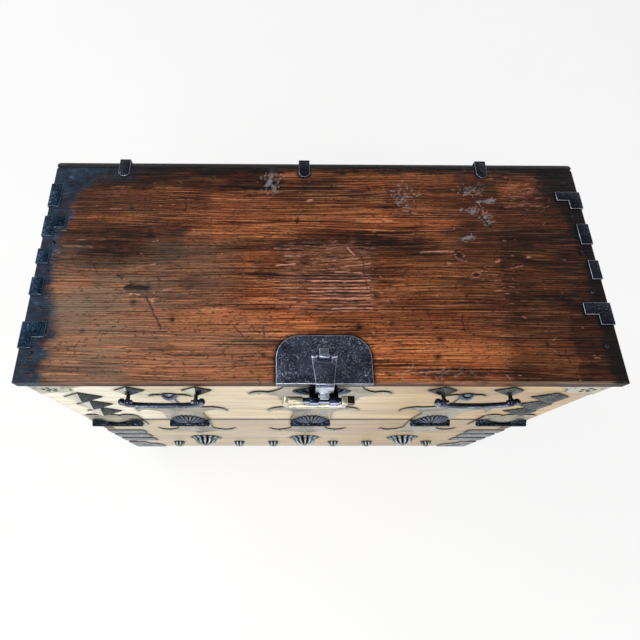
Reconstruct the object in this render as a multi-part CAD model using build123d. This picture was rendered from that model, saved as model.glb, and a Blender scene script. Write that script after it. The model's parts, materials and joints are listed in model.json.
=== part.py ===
"""Korean bandaji: a drop-front blanket chest of pine boards with iron mounts and a brass padlock.

Millimetres, +Z up, front towards -Y.  The origin is the bottom centre of the whole chest's box.
"""
from build123d import *
import math
import os

# ---------------------------------------------------------------- carcass
top_width = 900.0            # top board, end to end
chest_depth = 397.0          # front face of the boards to the back face
top_thickness = 20.0
side_overhang = 10.0         # top board past each side board
front_overhang = 3.0         # top board past the front face
body_height = 664.0          # top surface down to the lower edge of the front
board_thickness = 20.0       # sides, lower front and flap
back_thickness = 14.0
bottom_thickness = 16.0
bottom_lift = 14.0           # underside of the bottom board above the lower edges
groove_depth = 6.0           # how far the bottom board is let into its neighbours
finger_height = 62.0         # nominal height of one finger of the corner joints

# ---------------------------------------------------------------- low stand
stand_height = 60.0
stand_inset = 13.0           # set back from the front, sides and back
stand_side_thickness = 34.0
stand_rail_thickness = 22.0
stand_rail_drop = 16.0       # how far the rails stay above the floor
stand_rail_setback = 20.5    # rails behind the ends of the feet
stand_foot_length = 82.0
stand_arch = 27.0            # rise of the arch under a foot
stand_tenon = 10.0

# ---------------------------------------------------------------- drop flap
seam_drop = 290.0            # top surface down to the seam under the flap
seam_gap = 2.0
flap_top_gap = 2.0
flap_back_gap = 0.4          # flap to the side boards' front edges

# ---------------------------------------------------------------- iron in general
plate = 2.0                  # front mounts
strap = 1.6                  # straps bent round an edge
nail_head_radius = 3.2
nail_head_height = 1.7
nail_shank_radius = 1.3
nail_length = 13.0

# ---------------------------------------------------------------- hinges
hinge_standoff = 8.5         # face of the boards to the barrel axis
hinge_axis_drop = 4.0        # seam centre down to the barrel axis
barrel_radius = 5.0
pin_radius = 2.2
pin_clearance = 0.05
pin_overhang = 1.5
knuckle_gap = 0.6
knuckle_share = 0.36         # width of the middle knuckle over the whole barrel
leaf_spacing_share = 4 / 15  # between the three inner hinges, over the top's width
leaf_half = 38.5
leaf_waist = 35.0
leaf_waist_height = 66.0
hook_reach = 80.0
hook_tip_height = 84.0
hook_root_rise = 19.0        # inner end of a hook's lower edge above its tip
shoulder_rise = 22.0         # shoulder above the inner end of the hook
crown_rise = 21.0            # crown above the shoulder
leaf_nail_drop = 13.0        # hook nails below the shoulder
boss_radius = 34.0
boss_height = 5.5
boss_clear = 8.0             # boss kept off the barrel axis
stem_half = 3.5
finial_drop = 35.0           # below the bail's pivot
finial_radius = 13.5
finial_dome = 7.0
whisker_reach = 34.0
end_leaf_half = 49.0
end_leaf_inset = 8.0         # end hinge to the chest's side
end_leaf_height = 58.0
end_leaf_nail = 22.0         # nails below the end leaf's edge

# ---------------------------------------------------------------- lock
lock_x = 3.0                 # centre of the lock group
top_plate_half = 71.0
top_plate_depth = 73.0
top_plate_corner = 35.0
top_plate_lip = 11.0         # part bent down over the front edge
# nails in the top plate, as shares of its half width and its depth
top_plate_spots = ((-0.76, 0.85), (0.0, 0.90), (0.76, 0.85), (-0.845, 0.165), (0.845, 0.165),
                   (-0.535, 0.52), (0.62, 0.52))
front_plate_half = 65.0
front_plate_top = 25.0       # below the top surface
front_plate_gap = 1.0        # foot of the plate above the middle hinge's crown
front_hook_reach = 112.0
front_hook_drop = 76.0
rosette_half = 47.0
rosette_drop = 52.0
rosette_radius = 19.0
rosette_height = 4.5
lock_standoff = 23.5         # face of the boards to the padlock bar
lock_drop = 24.0             # top surface down to the padlock bar
bar_radius = 4.5
eye_radius = 8.0
eye_clearance = 0.5
eye_width = 13.0
eye_spacing = 30.0           # between the two flap knuckles, centre to centre
eye_foot_top = 27.0          # foot of the knuckles, below the top surface
eye_foot_bottom = 36.0

hasp_pivot_depth = 39.0      # behind the top board's front edge
hasp_bar_radius = 2.2
hasp_bar_lift = 4.4          # bar axis above the top plate
hasp_thickness = 3.0
hasp_rear_half = 19.0
hasp_front_half = 13.5
hasp_nose_half = 6.4
hasp_rest_gap = 0.4
hasp_slot_half = 11.0
hasp_slot_length = 7.0
hasp_nose_gap = 0.8
hasp_run = 14.0              # from the loop forward to where the strap lies flat
hasp_fall_reach = 7.5        # how far the nose leans out below the lip
loop_half = 7.0
loop_wall = 1.6
loop_clearance = 0.35
loop_tail = 13.0
loop_tongue = 2.0            # thickness of the loop's tail on the plate

padlock_left = 62.0          # left end from the lock's centre
padlock_cheek = 26.0         # inner face of the right cheek from the lock's centre
padlock_band = 8.0           # width of the right cheek
padlock_block = 11.0         # width of the iron end block
padlock_half_depth = 6.0
padlock_window = 12.5        # bar axis down to the body's upper edge
padlock_belly = 31.0         # bar axis down to the lowest point
padlock_horn = 22.0          # bar axis down to the body's ends
shackle_arm = 10.0
sleeve_radius = 6.4
sleeve_end = 32.0            # inner end of the sleeve from the lock's centre
spring_drop = 18.0           # bar axis down to the spring arm
spring_size = 5.0
spring_length = 62.0
spring_clearance = 0.3

# ---------------------------------------------------------------- handles
handle_outset = 3.0          # handles outside the hinges below them
post_spacing = 104.0
post_drop = 52.0
post_standoff = 19.0         # face of the boards to the bail's pivot
post_radius = 3.0
post_eye_radius = 5.8
post_eye_half = 2.6
pivot_radius = 3.0
pivot_clearance = 0.35
pivot_inner = 7.0            # pivot stub inside the post's centre
bail_outset = 9.0            # post's centre to the middle of the bail's upright end
bail_bow = 27.0              # pivot line down to the middle of the bow
bail_corner = 14.0
bail_curve = 150.0
bail_radius = 4.4
bail_knob = 5.6
clench_length = 26.0
clench_width = 5.0
clench_thickness = 1.8
escutcheon_half = 23.0
escutcheon_tall = 20.0
escutcheon_rise = 8.0

# ---------------------------------------------------------------- flap ornaments
lozenge_inset = 59.0         # lozenges' middle line to the chest's side
lozenge_column_top = 69.0    # below the top surface
lozenge_column_gap = 7.0     # foot of the column above the end hinge's leaf
lozenge_gap = 2.0            # between two lozenges
lozenge_half = 31.0
lozenge_rise = 9.0
corner_plate_width = 64.0
corner_plate_height = 50.0
corner_plate_hook = 16.0
corner_plate_top = 26.0      # below the top surface
pierced_radius = 3.4
pierced_ring = 9.5

# ---------------------------------------------------------------- lower front ornaments
strap_count = 3
strap_low_share = 0.21       # gaps as shares of the room left between plate and hinge
strap_gap_share = 0.13
strap_height = 40.0
strap_front = 78.0
strap_side = 70.0
foot_plate_width = 74.0
foot_plate_height = 86.0
flower_share = 0.656         # flowers' height, over the room under the hinges' crowns
flower_inset = 2.0           # outer flowers inside the hinges above them
flower_petals = 8
flower_ring = 26.0
petal_radius = 11.5
flower_core = 22.0
flower_core_height = 6.0
knob_radius = 7.0
knob_neck = 4.5
knob_sink = 3.0              # how far the ball is let into the flower's core
stud_share = 0.362           # studs' height, over the same room
stud_offset = 76.0
stud_radius = 11.0
stud_height = 9.0

# ---------------------------------------------------------------- straps on the top
# each strap: front edge as a share of the top board's depth, its width, its reach inwards
edge_straps_left = ((0.181, 25.0, 35.0), (0.363, 30.0, 18.0), (0.505, 27.0, 18.0),
                    (0.679, 22.0, 34.0), (0.785, 46.0, 18.0))
edge_straps_right = ((0.282, 20.0, 41.0), (0.440, 34.0, 15.0), (0.606, 39.0, 18.0),
                     (0.829, 17.0, 40.0))
edge_strap_step = 17.0       # step beside the long straps
edge_strap_fall = 15.0       # part bent down over the board's edge
long_strap = 30.0            # straps longer than this have the step
back_strap_spots = (-0.738, -0.044, 0.644)    # shares of half the top's width
back_strap_width = 19.0
back_strap_length = 34.0
top_nails_left = (0.117, 0.306, 0.472, 0.604, 0.938)
top_nails_right = (0.148, 0.383, 0.567, 0.746, 0.925)

# ================================================================ derived places
half_body = top_width / 2 - side_overhang
half_inside = half_body - board_thickness
front_reach = max(lock_standoff + eye_radius, post_standoff + bail_knob)
face_y = front_reach - (front_reach + chest_depth + strap) / 2
back_y = face_y + chest_depth
top_front_y = face_y - front_overhang
z_foot = stand_height
z_top = stand_height + body_height
z_under = z_top - top_thickness
z_seam = z_top - seam_drop
flap_bottom = z_seam + seam_gap / 2
flap_top = z_under - flap_top_gap
front_top = z_seam - seam_gap / 2
z_hinge = z_seam - hinge_axis_drop
hinge_y = face_y - hinge_standoff
z_bar = z_top - lock_drop
bar_y = face_y - lock_standoff
leaf_spacing = top_width * leaf_spacing_share
end_hinge_x = half_body - end_leaf_inset - end_leaf_half
upper_start = flap_bottom - z_hinge
lower_start = z_hinge - front_top
hook_root_height = hook_tip_height + hook_root_rise
shoulder_height = hook_root_height + shoulder_rise
crown_height = shoulder_height + crown_rise
z_post = z_top - post_drop
finial_height = z_post - finial_drop - z_hinge
front_plate_bottom = z_top - z_hinge - crown_height - front_plate_gap
handle_x = leaf_spacing + handle_outset
bail_half = post_spacing / 2 + bail_outset
lozenge_low = z_hinge + end_leaf_height + lozenge_column_gap
lozenge_room = z_top - lozenge_column_top - lozenge_low
lozenge_tall = (lozenge_room - 2 * lozenge_gap) / 6
flower_spacing = leaf_spacing - flower_inset
ornament_room = z_hinge - crown_height - z_foot
strap_start = z_foot + foot_plate_height
strap_room = z_hinge - end_leaf_height - strap_start - strap_count * strap_height
strap_pitch = strap_height + strap_room * strap_gap_share
strap_middles = [strap_start + strap_room * strap_low_share + strap_height / 2 + i * strap_pitch
                 for i in range(strap_count)]
top_depth = back_y - back_thickness - top_front_y
side_names = (("left", -1), ("right", 1))

os.makedirs("parts", exist_ok=True)
parts = {}


# ================================================================ helpers
def block(x0, x1, y0, y1, z0, z1):
    """A box between two values along each axis."""
    return Pos((x0 + x1) / 2, (y0 + y1) / 2, (z0 + z1) / 2) * Box(x1 - x0, y1 - y0, z1 - z0)


def rod_x(x0, x1, y, z, radius):
    """A round bar along X."""
    return Pos((x0 + x1) / 2, y, z) * Rot(0, 90, 0) * Cylinder(radius, x1 - x0)


def rod_y(x, y0, y1, z, radius):
    """A round bar along Y."""
    return Pos(x, (y0 + y1) / 2, z) * Rot(90, 0, 0) * Cylinder(radius, y1 - y0)


def outline(start, *steps):
    """A closed face: each step is an end point, or a (via, end) pair for an arc."""
    edges = []
    here = start
    for step in steps:
        arc = isinstance(step[0], tuple)
        there = step[1] if arc else step
        edges.append(ThreePointArc(here, step[0], there) if arc else Line(here, there))
        here = there
    if here != start:
        edges.append(Line(here, start))
    return make_face(Curve() + edges)


def both_halves(face):
    """A face drawn on the right of its middle line, completed on the left."""
    return face + mirror(face, Plane.YZ)


def on_front(x, z, out=0.0):
    """Place on the front face: local X right, local Y up, local Z out of the front."""
    spot = Plane((x, face_y - out, z), x_dir=(1, 0, 0), z_dir=(0, -1, 0))
    return spot.location


def section_x(y, z, x):
    """Place for a section across X: local X to the back, local Y up, extruded towards +X."""
    return Plane((x, y, z), x_dir=(0, 1, 0), z_dir=(1, 0, 0)).location


def dome(radius, height):
    """A low dome on local XY."""
    sphere = (radius ** 2 + height ** 2) / (2 * height)
    bend = math.asin(radius / sphere) / 2
    via = (sphere * math.sin(bend), height - sphere * (1 - math.cos(bend)))
    half = outline((0, 0), (radius, 0), (via, (0, height)))
    return revolve(Plane.XZ * half, Axis.Z)


def pyramid(half_width, half_height, rise, base):
    """A four-sided lozenge boss on a thin base."""
    corners = [(half_width, 0), (0, half_height), (-half_width, 0), (0, -half_height)]
    rim = make_face(Polyline(*corners, close=True))
    peak = Pos(0, 0, base + rise) * rim.scale(0.02)
    return extrude(rim, base) + loft([Pos(0, 0, base) * rim, peak])


def group(solids):
    """Separate solids kept together as one node."""
    return Compound(children=list(solids))


def fingers(low, high):
    """The levels of a finger joint: an odd number of equal steps, so both ends match."""
    count = max(3, 2 * round((high - low) / finger_height / 2) + 1)
    return [low + (high - low) * i / count for i in range(count + 1)]


class Nails:
    """Hand-made nails: a domed head on a mount and a shank in the wood behind it."""

    def __init__(self):
        self.heads = []
        self.drills = []

    def front(self, x, z, out=plate):
        """One nail through a mount on the front face."""
        spot = on_front(x, z, out)
        self._add(spot)

    def top(self, x, y, lift=0.0):
        """One nail down into the top board, y counted from its front edge."""
        self._add(Pos(x, top_front_y + y, z_top + lift))

    def _add(self, spot):
        shank = Pos(0, 0, -nail_length / 2) * Cylinder(nail_shank_radius, nail_length)
        hole = shank + Cylinder(nail_shank_radius, nail_head_height)
        self.heads.append(spot * (dome(nail_head_radius, nail_head_height) + shank))
        self.drills.append(spot * hole)

    def holes(self, *names):
        """Cut the nails' holes in the named parts."""
        for name in names:
            cut = [solid - self.drills for solid in parts[name].solids()]
            parts[name] = group(cut) if len(cut) > 1 else cut[0]


# ================================================================ carcass
def side_board(side):
    """One side: fingers into the lower front and the back, a step for the flap, bottom groove."""
    x0, x1 = sorted((side * half_inside, side * half_body))
    board = block(x0, x1, face_y, back_y, z_foot, z_under)
    board -= block(x0, x1, face_y, face_y + board_thickness + flap_back_gap, front_top, z_under)
    front_steps = fingers(z_foot, front_top)
    for low, high in list(zip(front_steps, front_steps[1:]))[::2]:
        board -= block(x0, x1, face_y, face_y + board_thickness, low, high)
    back_steps = fingers(z_foot, z_under)
    for low, high in list(zip(back_steps, back_steps[1:]))[::2]:
        board -= block(x0, x1, back_y - back_thickness, back_y, low, high)
    return board - bottom_board()


def bottom_board():
    """The floor of the chest, let into grooves all round."""
    reach = half_inside + groove_depth
    low = z_foot + bottom_lift
    front = face_y + board_thickness - groove_depth
    back = back_y - back_thickness + groove_depth
    return block(-reach, reach, front, back, low, low + bottom_thickness)


def finger_notches(y0, y1, low, high):
    """Room in a front or back board for the side boards' fingers."""
    steps = fingers(low, high)
    notches = []
    for bottom, top in list(zip(steps, steps[1:]))[1::2]:
        for side in (-1, 1):
            x0, x1 = sorted((side * half_inside, side * half_body))
            notches.append(block(x0, x1, y0, y1, bottom, top))
    return notches


def carcass():
    """Boards of the box and its lid-like flap."""
    for name, side in side_names:
        parts[f"side_board_{name}"] = side_board(side)
    parts["bottom_board"] = bottom_board()
    lower = block(-half_body, half_body, face_y, face_y + board_thickness, z_foot, front_top)
    lower -= finger_notches(face_y, face_y + board_thickness, z_foot, front_top)
    parts["lower_front_board"] = lower - bottom_board()
    back = block(-half_body, half_body, back_y - back_thickness, back_y, z_foot, z_top)
    back -= finger_notches(back_y - back_thickness, back_y, z_foot, z_under)
    back -= bottom_board()
    split = (z_foot + z_under) / 2
    below = block(-top_width, top_width, -top_width, top_width, 0, split)
    parts["back_board_lower"] = back & below
    parts["back_board_upper"] = back - below
    half_top = top_width / 2
    parts["top_board"] = block(-half_top, half_top, top_front_y, back_y - back_thickness,
                               z_under, z_top)
    parts["flap_board"] = block(-half_body, half_body, face_y, face_y + board_thickness,
                                flap_bottom, flap_top)


def stand():
    """The low stand: two long feet with an arch each, tied by a front and a back rail."""
    half = half_body - stand_inset
    y0 = face_y + stand_inset
    y1 = back_y - stand_inset
    reach = half - stand_side_thickness + stand_tenon
    rails = {"front": y0 + stand_rail_setback,
             "back": y1 - stand_rail_setback - stand_rail_thickness}
    for name, y in rails.items():
        parts[f"stand_rail_{name}"] = block(-reach, reach, y, y + stand_rail_thickness,
                                            stand_rail_drop, stand_height)
    middle = (y0 + y1) / 2
    span = (y1 - y0) / 2 - stand_foot_length
    arch = outline((-span, 0), ((0, stand_arch), (span, 0)))
    for name, side in side_names:
        x0, x1 = sorted((side * half, side * (half - stand_side_thickness)))
        foot = block(x0, x1, y0, y1, 0, stand_height)
        foot -= extrude(section_x(middle, 0, x0) * arch, x1 - x0)
        foot -= [parts["stand_rail_front"], parts["stand_rail_back"]]
        parts[f"stand_foot_{name}"] = foot


# ================================================================ hinges
def leaf_face(start):
    """Outline of an inner hinge's leaf, from its edge at the seam to its crown, hooks outward."""
    long = hook_reach - leaf_waist
    neck = hook_root_height - leaf_waist_height
    tall = shoulder_height - hook_tip_height
    tip = (hook_reach, hook_tip_height)
    root = (leaf_waist + 0.6 * long, hook_root_height)
    shoulder = (leaf_waist + 0.51 * long, shoulder_height)
    return both_halves(outline(
        (0, start),
        (leaf_half, start),
        (leaf_waist, leaf_waist_height),
        ((leaf_waist + 0.2 * long, leaf_waist_height + 0.73 * neck), root),
        ((hook_reach - 0.155 * long, hook_root_height - 0.16 * hook_root_rise), tip),
        ((hook_reach - 0.07 * long, hook_tip_height + 0.66 * tall), shoulder),
        ((0.83 * leaf_waist, shoulder_height + 0.1 * crown_rise),
         (0.4 * leaf_waist, shoulder_height + 0.52 * crown_rise)),
        (0, crown_height),
    ))


def end_leaf_face(start):
    """Outline of an end hinge's short leaf, its edge in three lobes."""
    lobe = end_leaf_half / 3
    low = end_leaf_height - lobe
    face = Pos(0, (start + low) / 2) * Rectangle(2 * end_leaf_half, low - start)
    for i in (-1, 0, 1):
        face += Pos(2 * lobe * i, low) * Circle(lobe)
    return face


def hinge_leaf(x, half, face, start, up, knuckles):
    """A leaf with its half boss and its knuckles; up is +1 on the flap, -1 below the seam."""
    boss = dome(boss_radius, boss_height)
    keep = boss_clear
    boss &= block(-boss_radius, boss_radius, keep, boss_radius, 0, boss_height)
    body = extrude(face, plate) + Pos(0, 0, plate) * boss
    wedge = outline(
        (barrel_radius, hinge_standoff),
        (hinge_standoff + plate, plate),
        (hinge_standoff + plate, 0),
        (max(start, 0), 0),
        (max(start, 0), plate),
        (1, hinge_standoff - barrel_radius + 1),
    )
    across = Plane((0, 0, 0), x_dir=(0, 1, 0), z_dir=(1, 0, 0))
    for low, high in knuckles:
        body += Pos(low, 0, 0) * extrude(across * wedge, high - low)
        body += rod_x(low, high, 0, hinge_standoff, barrel_radius)
    body -= rod_x(-half - 1, half + 1, 0, hinge_standoff, pin_radius + pin_clearance)
    if up < 0:
        body = mirror(body, Plane.XZ)
    return on_front(x, z_hinge) * body


def hinges():
    """Five hinges, their pins, and the finials above the two that stand under the handles."""
    spots = {
        "far_left": (-end_hinge_x, end_leaf_half),
        "left": (-leaf_spacing, leaf_half),
        "centre": (0.0, leaf_half),
        "right": (leaf_spacing, leaf_half),
        "far_right": (end_hinge_x, end_leaf_half),
    }
    pins = []
    for name, (x, half) in spots.items():
        inner = half * knuckle_share
        outer = [(-half, -inner - knuckle_gap / 2), (inner + knuckle_gap / 2, half)]
        middle = [(-inner + knuckle_gap / 2, inner - knuckle_gap / 2)]
        face = leaf_face if half == leaf_half else end_leaf_face
        upper = face(upper_start)
        if name in ("left", "right"):
            upper += finial_face()
        parts[f"hinge_upper_leaf_{name}"] = hinge_leaf(x, half, upper, upper_start, 1, outer)
        lower = face(-lower_start)
        parts[f"hinge_lower_leaf_{name}"] = hinge_leaf(x, half, lower, -lower_start, -1, middle)
        pins.append(rod_x(x - half - pin_overhang, x + half + pin_overhang,
                          hinge_y, z_hinge, pin_radius))
    parts["hinge_pins"] = group(pins)
    bosses = [on_front(x, z_hinge + finial_height, plate) * dome(finial_radius, finial_dome)
              for x in (-leaf_spacing, leaf_spacing)]
    parts["hinge_finials"] = group(bosses)


def finial_face():
    """Stem, disc and two whiskers above a leaf's crown."""
    rim = 0.6
    overlap = 3.0
    stem = Pos(0, (crown_height + finial_height) / 2 - overlap) * Rectangle(
        2 * stem_half, finial_height - crown_height)
    disc = Pos(0, finial_height) * Circle(finial_radius + rim)
    root = finial_radius * 0.6
    whisker = outline(
        (root, finial_height - 5),
        ((whisker_reach * 0.62, finial_height - 2), (whisker_reach, finial_height - 9)),
        ((whisker_reach * 0.7, finial_height + 7), (root, finial_height + 3)),
    )
    return stem + disc + both_halves(whisker)


# ================================================================ lock
def front_plate_face():
    """Outline of the front lock plate: a hook on each side, a rounded point below."""
    half = front_plate_half
    reach = front_hook_reach
    high = -front_plate_top
    hook = -front_hook_drop
    low = -front_plate_bottom
    fall = hook - low
    return both_halves(outline(
        (0, high),
        (half - 6, high),
        ((half + 2, hook + 30), (half + 20, hook + 14)),
        ((reach - 6, hook + 15), (reach, hook - 4)),
        ((reach - 14, hook + 5), (half + 16, hook - 6)),
        ((half + 1, hook - 0.25 * fall), (half - 2, hook - 0.56 * fall)),
        ((half - 22, hook - 0.86 * fall), (0, low)),
    ))


def lock_plates():
    """The front plate with its rosette, the two knuckles, and the plate on the top."""
    face = front_plate_face()
    parts["lock_plate_front"] = on_front(lock_x, z_top) * extrude(face, plate)

    spot = on_front(lock_x, z_top - rosette_drop, plate)
    flower = extrude(Circle(rosette_radius), rosette_height * 0.5)
    flower += Pos(0, 0, rosette_height * 0.5) * dome(rosette_radius * 0.9, rosette_height * 0.5)
    for side in (-1, 1):
        wing = Pos(side * (rosette_half - rosette_radius * 0.8), 0, 0)
        flower += wing * extrude(Circle(rosette_radius * 0.8), rosette_height * 0.6)
    parts["lock_rosette"] = spot * flower

    knuckles = []
    back = lock_standoff
    foot_top = lock_drop - eye_foot_top
    foot_low = lock_drop - eye_foot_bottom
    for side in (-1, 1):
        x = lock_x + side * eye_spacing / 2
        x0 = x - eye_width / 2
        shank = outline(
            (-1.0, eye_radius - 0.1),
            (back - plate, foot_top),
            (back - plate, foot_low),
            (-1.0, -eye_radius + 0.1),
        )
        knuckle = extrude(section_x(bar_y, z_bar, x0) * shank, eye_width)
        knuckle += rod_x(x0, x0 + eye_width, bar_y, z_bar, eye_radius)
        knuckle -= rod_x(x0 - 1, x0 + eye_width + 1, bar_y, z_bar, bar_radius + eye_clearance)
        leg_z = z_top - (eye_foot_top + eye_foot_bottom) / 2
        inner = face_y + board_thickness
        knuckle += rod_y(x, face_y - plate, inner, leg_z, post_radius)
        knuckle += clench(x, leg_z)
        knuckles.append(knuckle)
    parts["lock_knuckles"] = group(knuckles)
    through = 2 * board_thickness
    legs = [rod_y(lock_x + side * eye_spacing / 2, face_y - through, face_y + through,
                  leg_z, post_radius) for side in (-1, 1)]
    play = 0.5
    room = [block(k.bounding_box().min.X, k.bounding_box().max.X, face_y - plate - rosette_height,
                  face_y - plate, z_top - eye_foot_bottom - play, z_top) for k in knuckles]
    for name in ("lock_plate_front", "flap_board"):
        parts[name] = parts[name] - legs
    parts["lock_rosette"] = parts["lock_rosette"] - room

    corner = top_plate_corner
    flat = both_halves(outline(
        (0, 0),
        (top_plate_half, 0),
        (top_plate_half, top_plate_depth - corner),
        ((top_plate_half - corner * (1 - math.sqrt(0.5)),
          top_plate_depth - corner * (1 - math.sqrt(0.5))),
         (top_plate_half - corner, top_plate_depth)),
        (0, top_plate_depth),
    ))
    top = Pos(lock_x, top_front_y, z_top) * extrude(flat, plate)
    top += block(lock_x - top_plate_half, lock_x + top_plate_half, top_front_y - plate,
                 top_front_y, z_top - top_plate_lip, z_top + plate)
    parts["lock_plate_top"] = top


def clench(x, z):
    """The tail of a post, bent flat on the inside of the flap."""
    inner = face_y + board_thickness
    return block(x - clench_width / 2, x + clench_width / 2, inner, inner + clench_thickness,
                 z - clench_length, z + clench_width / 2)


def hasp():
    """The hasp: a strap hung on a loop of the top plate, whose nose lies on the padlock bar."""
    pivot_y = top_front_y + hasp_pivot_depth
    pivot_z = z_top + plate + hasp_bar_lift
    rest = z_top + plate + hasp_rest_gap
    t = hasp_thickness
    lip_y = top_front_y - plate
    fall_y = lip_y - hasp_fall_reach
    flat = outline(
        (pivot_y, pivot_z + t / 2),
        (pivot_y, pivot_z - t / 2),
        (pivot_y - hasp_run, rest),
        (lip_y - 1, rest),
        (lip_y - 2, rest - t),
        (fall_y, z_bar + 11.0),
        (fall_y - t, z_bar + 12.5),
        (lip_y - 2 - t, rest - 1),
        (lip_y - 1, rest + t),
        (pivot_y - hasp_run, rest + t),
    )
    strip = extrude(section_x(0, 0, lock_x - hasp_rear_half) * flat, 2 * hasp_rear_half)
    beyond = 20.0
    plan = both_halves(make_face(Polyline(
        (0, bar_y - beyond),
        (hasp_front_half, bar_y - beyond),
        (hasp_front_half, top_front_y),
        (hasp_rear_half, pivot_y),
        (hasp_rear_half, pivot_y + beyond),
        (0, pivot_y + beyond),
        close=True)))
    strip &= Pos(lock_x, 0, z_bar) * extrude(plan, lock_drop + beyond)

    # the nose: a hook over the bar's upper back quarter, joined to the strip's lower end
    inner = bar_radius + hasp_nose_gap
    outer = inner + t
    rear = math.radians(50)
    bend = math.radians(70)
    lean = fall_y - bar_y
    nose = outline(
        (0, inner),
        ((inner * math.cos(bend), inner * math.sin(bend)),
         (inner * math.cos(rear), inner * math.sin(rear))),
        (lean + 0.5, 10.0),
        (lean - 0.5 - t, 14.0),
        (outer * math.cos(bend) - 1.0, outer * math.sin(bend) + 1.2),
        (0, outer),
    )
    strip += extrude(section_x(bar_y, z_bar, lock_x - hasp_nose_half) * nose, 2 * hasp_nose_half)
    strip -= block(lock_x - hasp_slot_half, lock_x + hasp_slot_half,
                   pivot_y - hasp_bar_radius - hasp_slot_length, pivot_y + 2 * t,
                   z_top, z_top + beyond)
    strip += rod_x(lock_x - hasp_rear_half, lock_x + hasp_rear_half,
                   pivot_y, pivot_z, hasp_bar_radius)
    parts["hasp"] = strip

    bore = hasp_bar_radius + loop_clearance
    ring = rod_x(lock_x - loop_half, lock_x + loop_half, pivot_y, pivot_z, bore + loop_wall)
    ring += block(lock_x - loop_half, lock_x + loop_half, pivot_y, pivot_y + loop_tail,
                  z_top + plate, z_top + plate + loop_tongue)
    ring -= block(lock_x - loop_half, lock_x + loop_half, pivot_y - loop_tail,
                  pivot_y + loop_tail, z_top, z_top + plate)
    ring -= rod_x(lock_x - loop_half - 1, lock_x + loop_half + 1, pivot_y, pivot_z, bore)
    parts["hasp_loop"] = ring
    return pivot_y, pivot_z


def padlock():
    """A crescent padlock: body and end block, and the bar, sleeve and spring arm that slide out."""
    left = lock_x - padlock_left + shackle_arm
    cheek = lock_x + padlock_cheek
    right = cheek + padlock_band
    window = z_bar - padlock_window
    horn = z_bar - padlock_horn
    belly = z_bar - padlock_belly
    up = z_bar + padlock_half_depth
    middle = (left + right) / 2
    to_front = Plane((0, bar_y + padlock_half_depth, 0), x_dir=(1, 0, 0), z_dir=(0, -1, 0))
    crescent = outline(
        (left, window),
        (cheek, window),
        (cheek, up),
        (right, up),
        (right, horn + 2),
        ((middle, belly), (left, horn)),
    )
    body = extrude(to_front * crescent, 2 * padlock_half_depth)
    body -= rod_x(cheek - 1, right + 1, bar_y, z_bar, bar_radius + eye_clearance)
    gap = spring_size / 2 + spring_clearance
    arm_z = z_bar - spring_drop
    body -= block(left - 1, left + spring_length + 2, bar_y - gap, bar_y + gap,
                  arm_z - gap, arm_z + gap)
    parts["padlock_body"] = body

    end = block(right, right + padlock_block, bar_y - padlock_half_depth,
                bar_y + padlock_half_depth, z_bar - padlock_half_depth, up)
    end -= rod_x(right - 1, right + padlock_block - 3, bar_y, z_bar, bar_radius + eye_clearance)
    parts["padlock_end_block"] = end

    outer = lock_x - padlock_left
    arm_right = left - 0.4
    arm = outline(
        (arm_right, up),
        (arm_right, horn),
        ((outer + 2, z_bar - padlock_window), (outer, z_bar)),
        ((outer + 2, z_bar + 4), (outer + 5, up)),
    )
    shackle = extrude(to_front * arm, 2 * padlock_half_depth)
    shackle += rod_x(arm_right, lock_x - sleeve_end, bar_y, z_bar, sleeve_radius)
    half = spring_size / 2
    shackle += block(arm_right, left + spring_length, bar_y - half, bar_y + half,
                     arm_z - half, arm_z + half)
    bar = rod_x(outer + 4, right + padlock_block - 4, bar_y, z_bar, bar_radius)
    parts["padlock_shackle"] = shackle - bar
    parts["padlock_bar"] = bar


# ================================================================ handles
def handles():
    """Two bow-shaped bails, each on two posts through ridged escutcheons."""
    z = z_post
    y = face_y - post_standoff
    for name, side in side_names:
        centre = side * handle_x
        posts = []
        plates = []
        for end in (-1, 1):
            x = centre + end * post_spacing / 2
            eye = rod_x(x - post_eye_half, x + post_eye_half, y, z, post_eye_radius)
            shank = rod_y(x, y, face_y + board_thickness, z, post_radius)
            hole = rod_x(x - post_eye_radius, x + post_eye_radius, y, z,
                         pivot_radius + pivot_clearance)
            posts.append(eye + shank - hole + clench(x, z))
            rhomb = pyramid(escutcheon_half, escutcheon_tall, escutcheon_rise, plate)
            plates.append(on_front(x, z) * rhomb - shank)
            parts["flap_board"] = parts["flap_board"] - shank
        parts[f"handle_posts_{name}"] = group(posts)
        parts[f"handle_escutcheons_{name}"] = group(plates)
        parts[f"handle_bail_{name}"] = Pos(centre, y, z) * bail()


def bail():
    """A bail about its pivot line: two stubs, two knobs and a bow, hanging down."""
    inner = post_spacing / 2 - pivot_inner
    solid = rod_x(-bail_half, -inner, 0, 0, pivot_radius)
    solid += rod_x(inner, bail_half, 0, 0, pivot_radius)

    # the corner arcs touch the upright ends and the long curve of the bow
    across = bail_half - bail_corner
    between = bail_curve - bail_corner
    rise = math.sqrt(between ** 2 - across ** 2)
    corner_z = bail_curve - bail_bow - rise
    touch_x = bail_curve * across / between
    touch_z = bail_curve - bail_bow - bail_curve * rise / between
    turn = math.radians(180) + math.atan2(rise, across) / 2
    via_x = across - bail_corner * math.cos(turn)
    via_z = corner_z + bail_corner * math.sin(turn)
    path = Plane.XZ * (Curve() + [
        Line((-bail_half, 0), (-bail_half, corner_z)),
        ThreePointArc((-bail_half, corner_z), (-via_x, via_z), (-touch_x, touch_z)),
        ThreePointArc((-touch_x, touch_z), (0, -bail_bow), (touch_x, touch_z)),
        ThreePointArc((touch_x, touch_z), (via_x, via_z), (bail_half, corner_z)),
        Line((bail_half, corner_z), (bail_half, 0)),
    ])
    solid += sweep(Pos(-bail_half, 0, 0) * Circle(bail_radius), path)
    for end in (-1, 1):
        solid += Pos(end * bail_half, 0, 0) * Sphere(bail_knob)
    return solid


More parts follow.
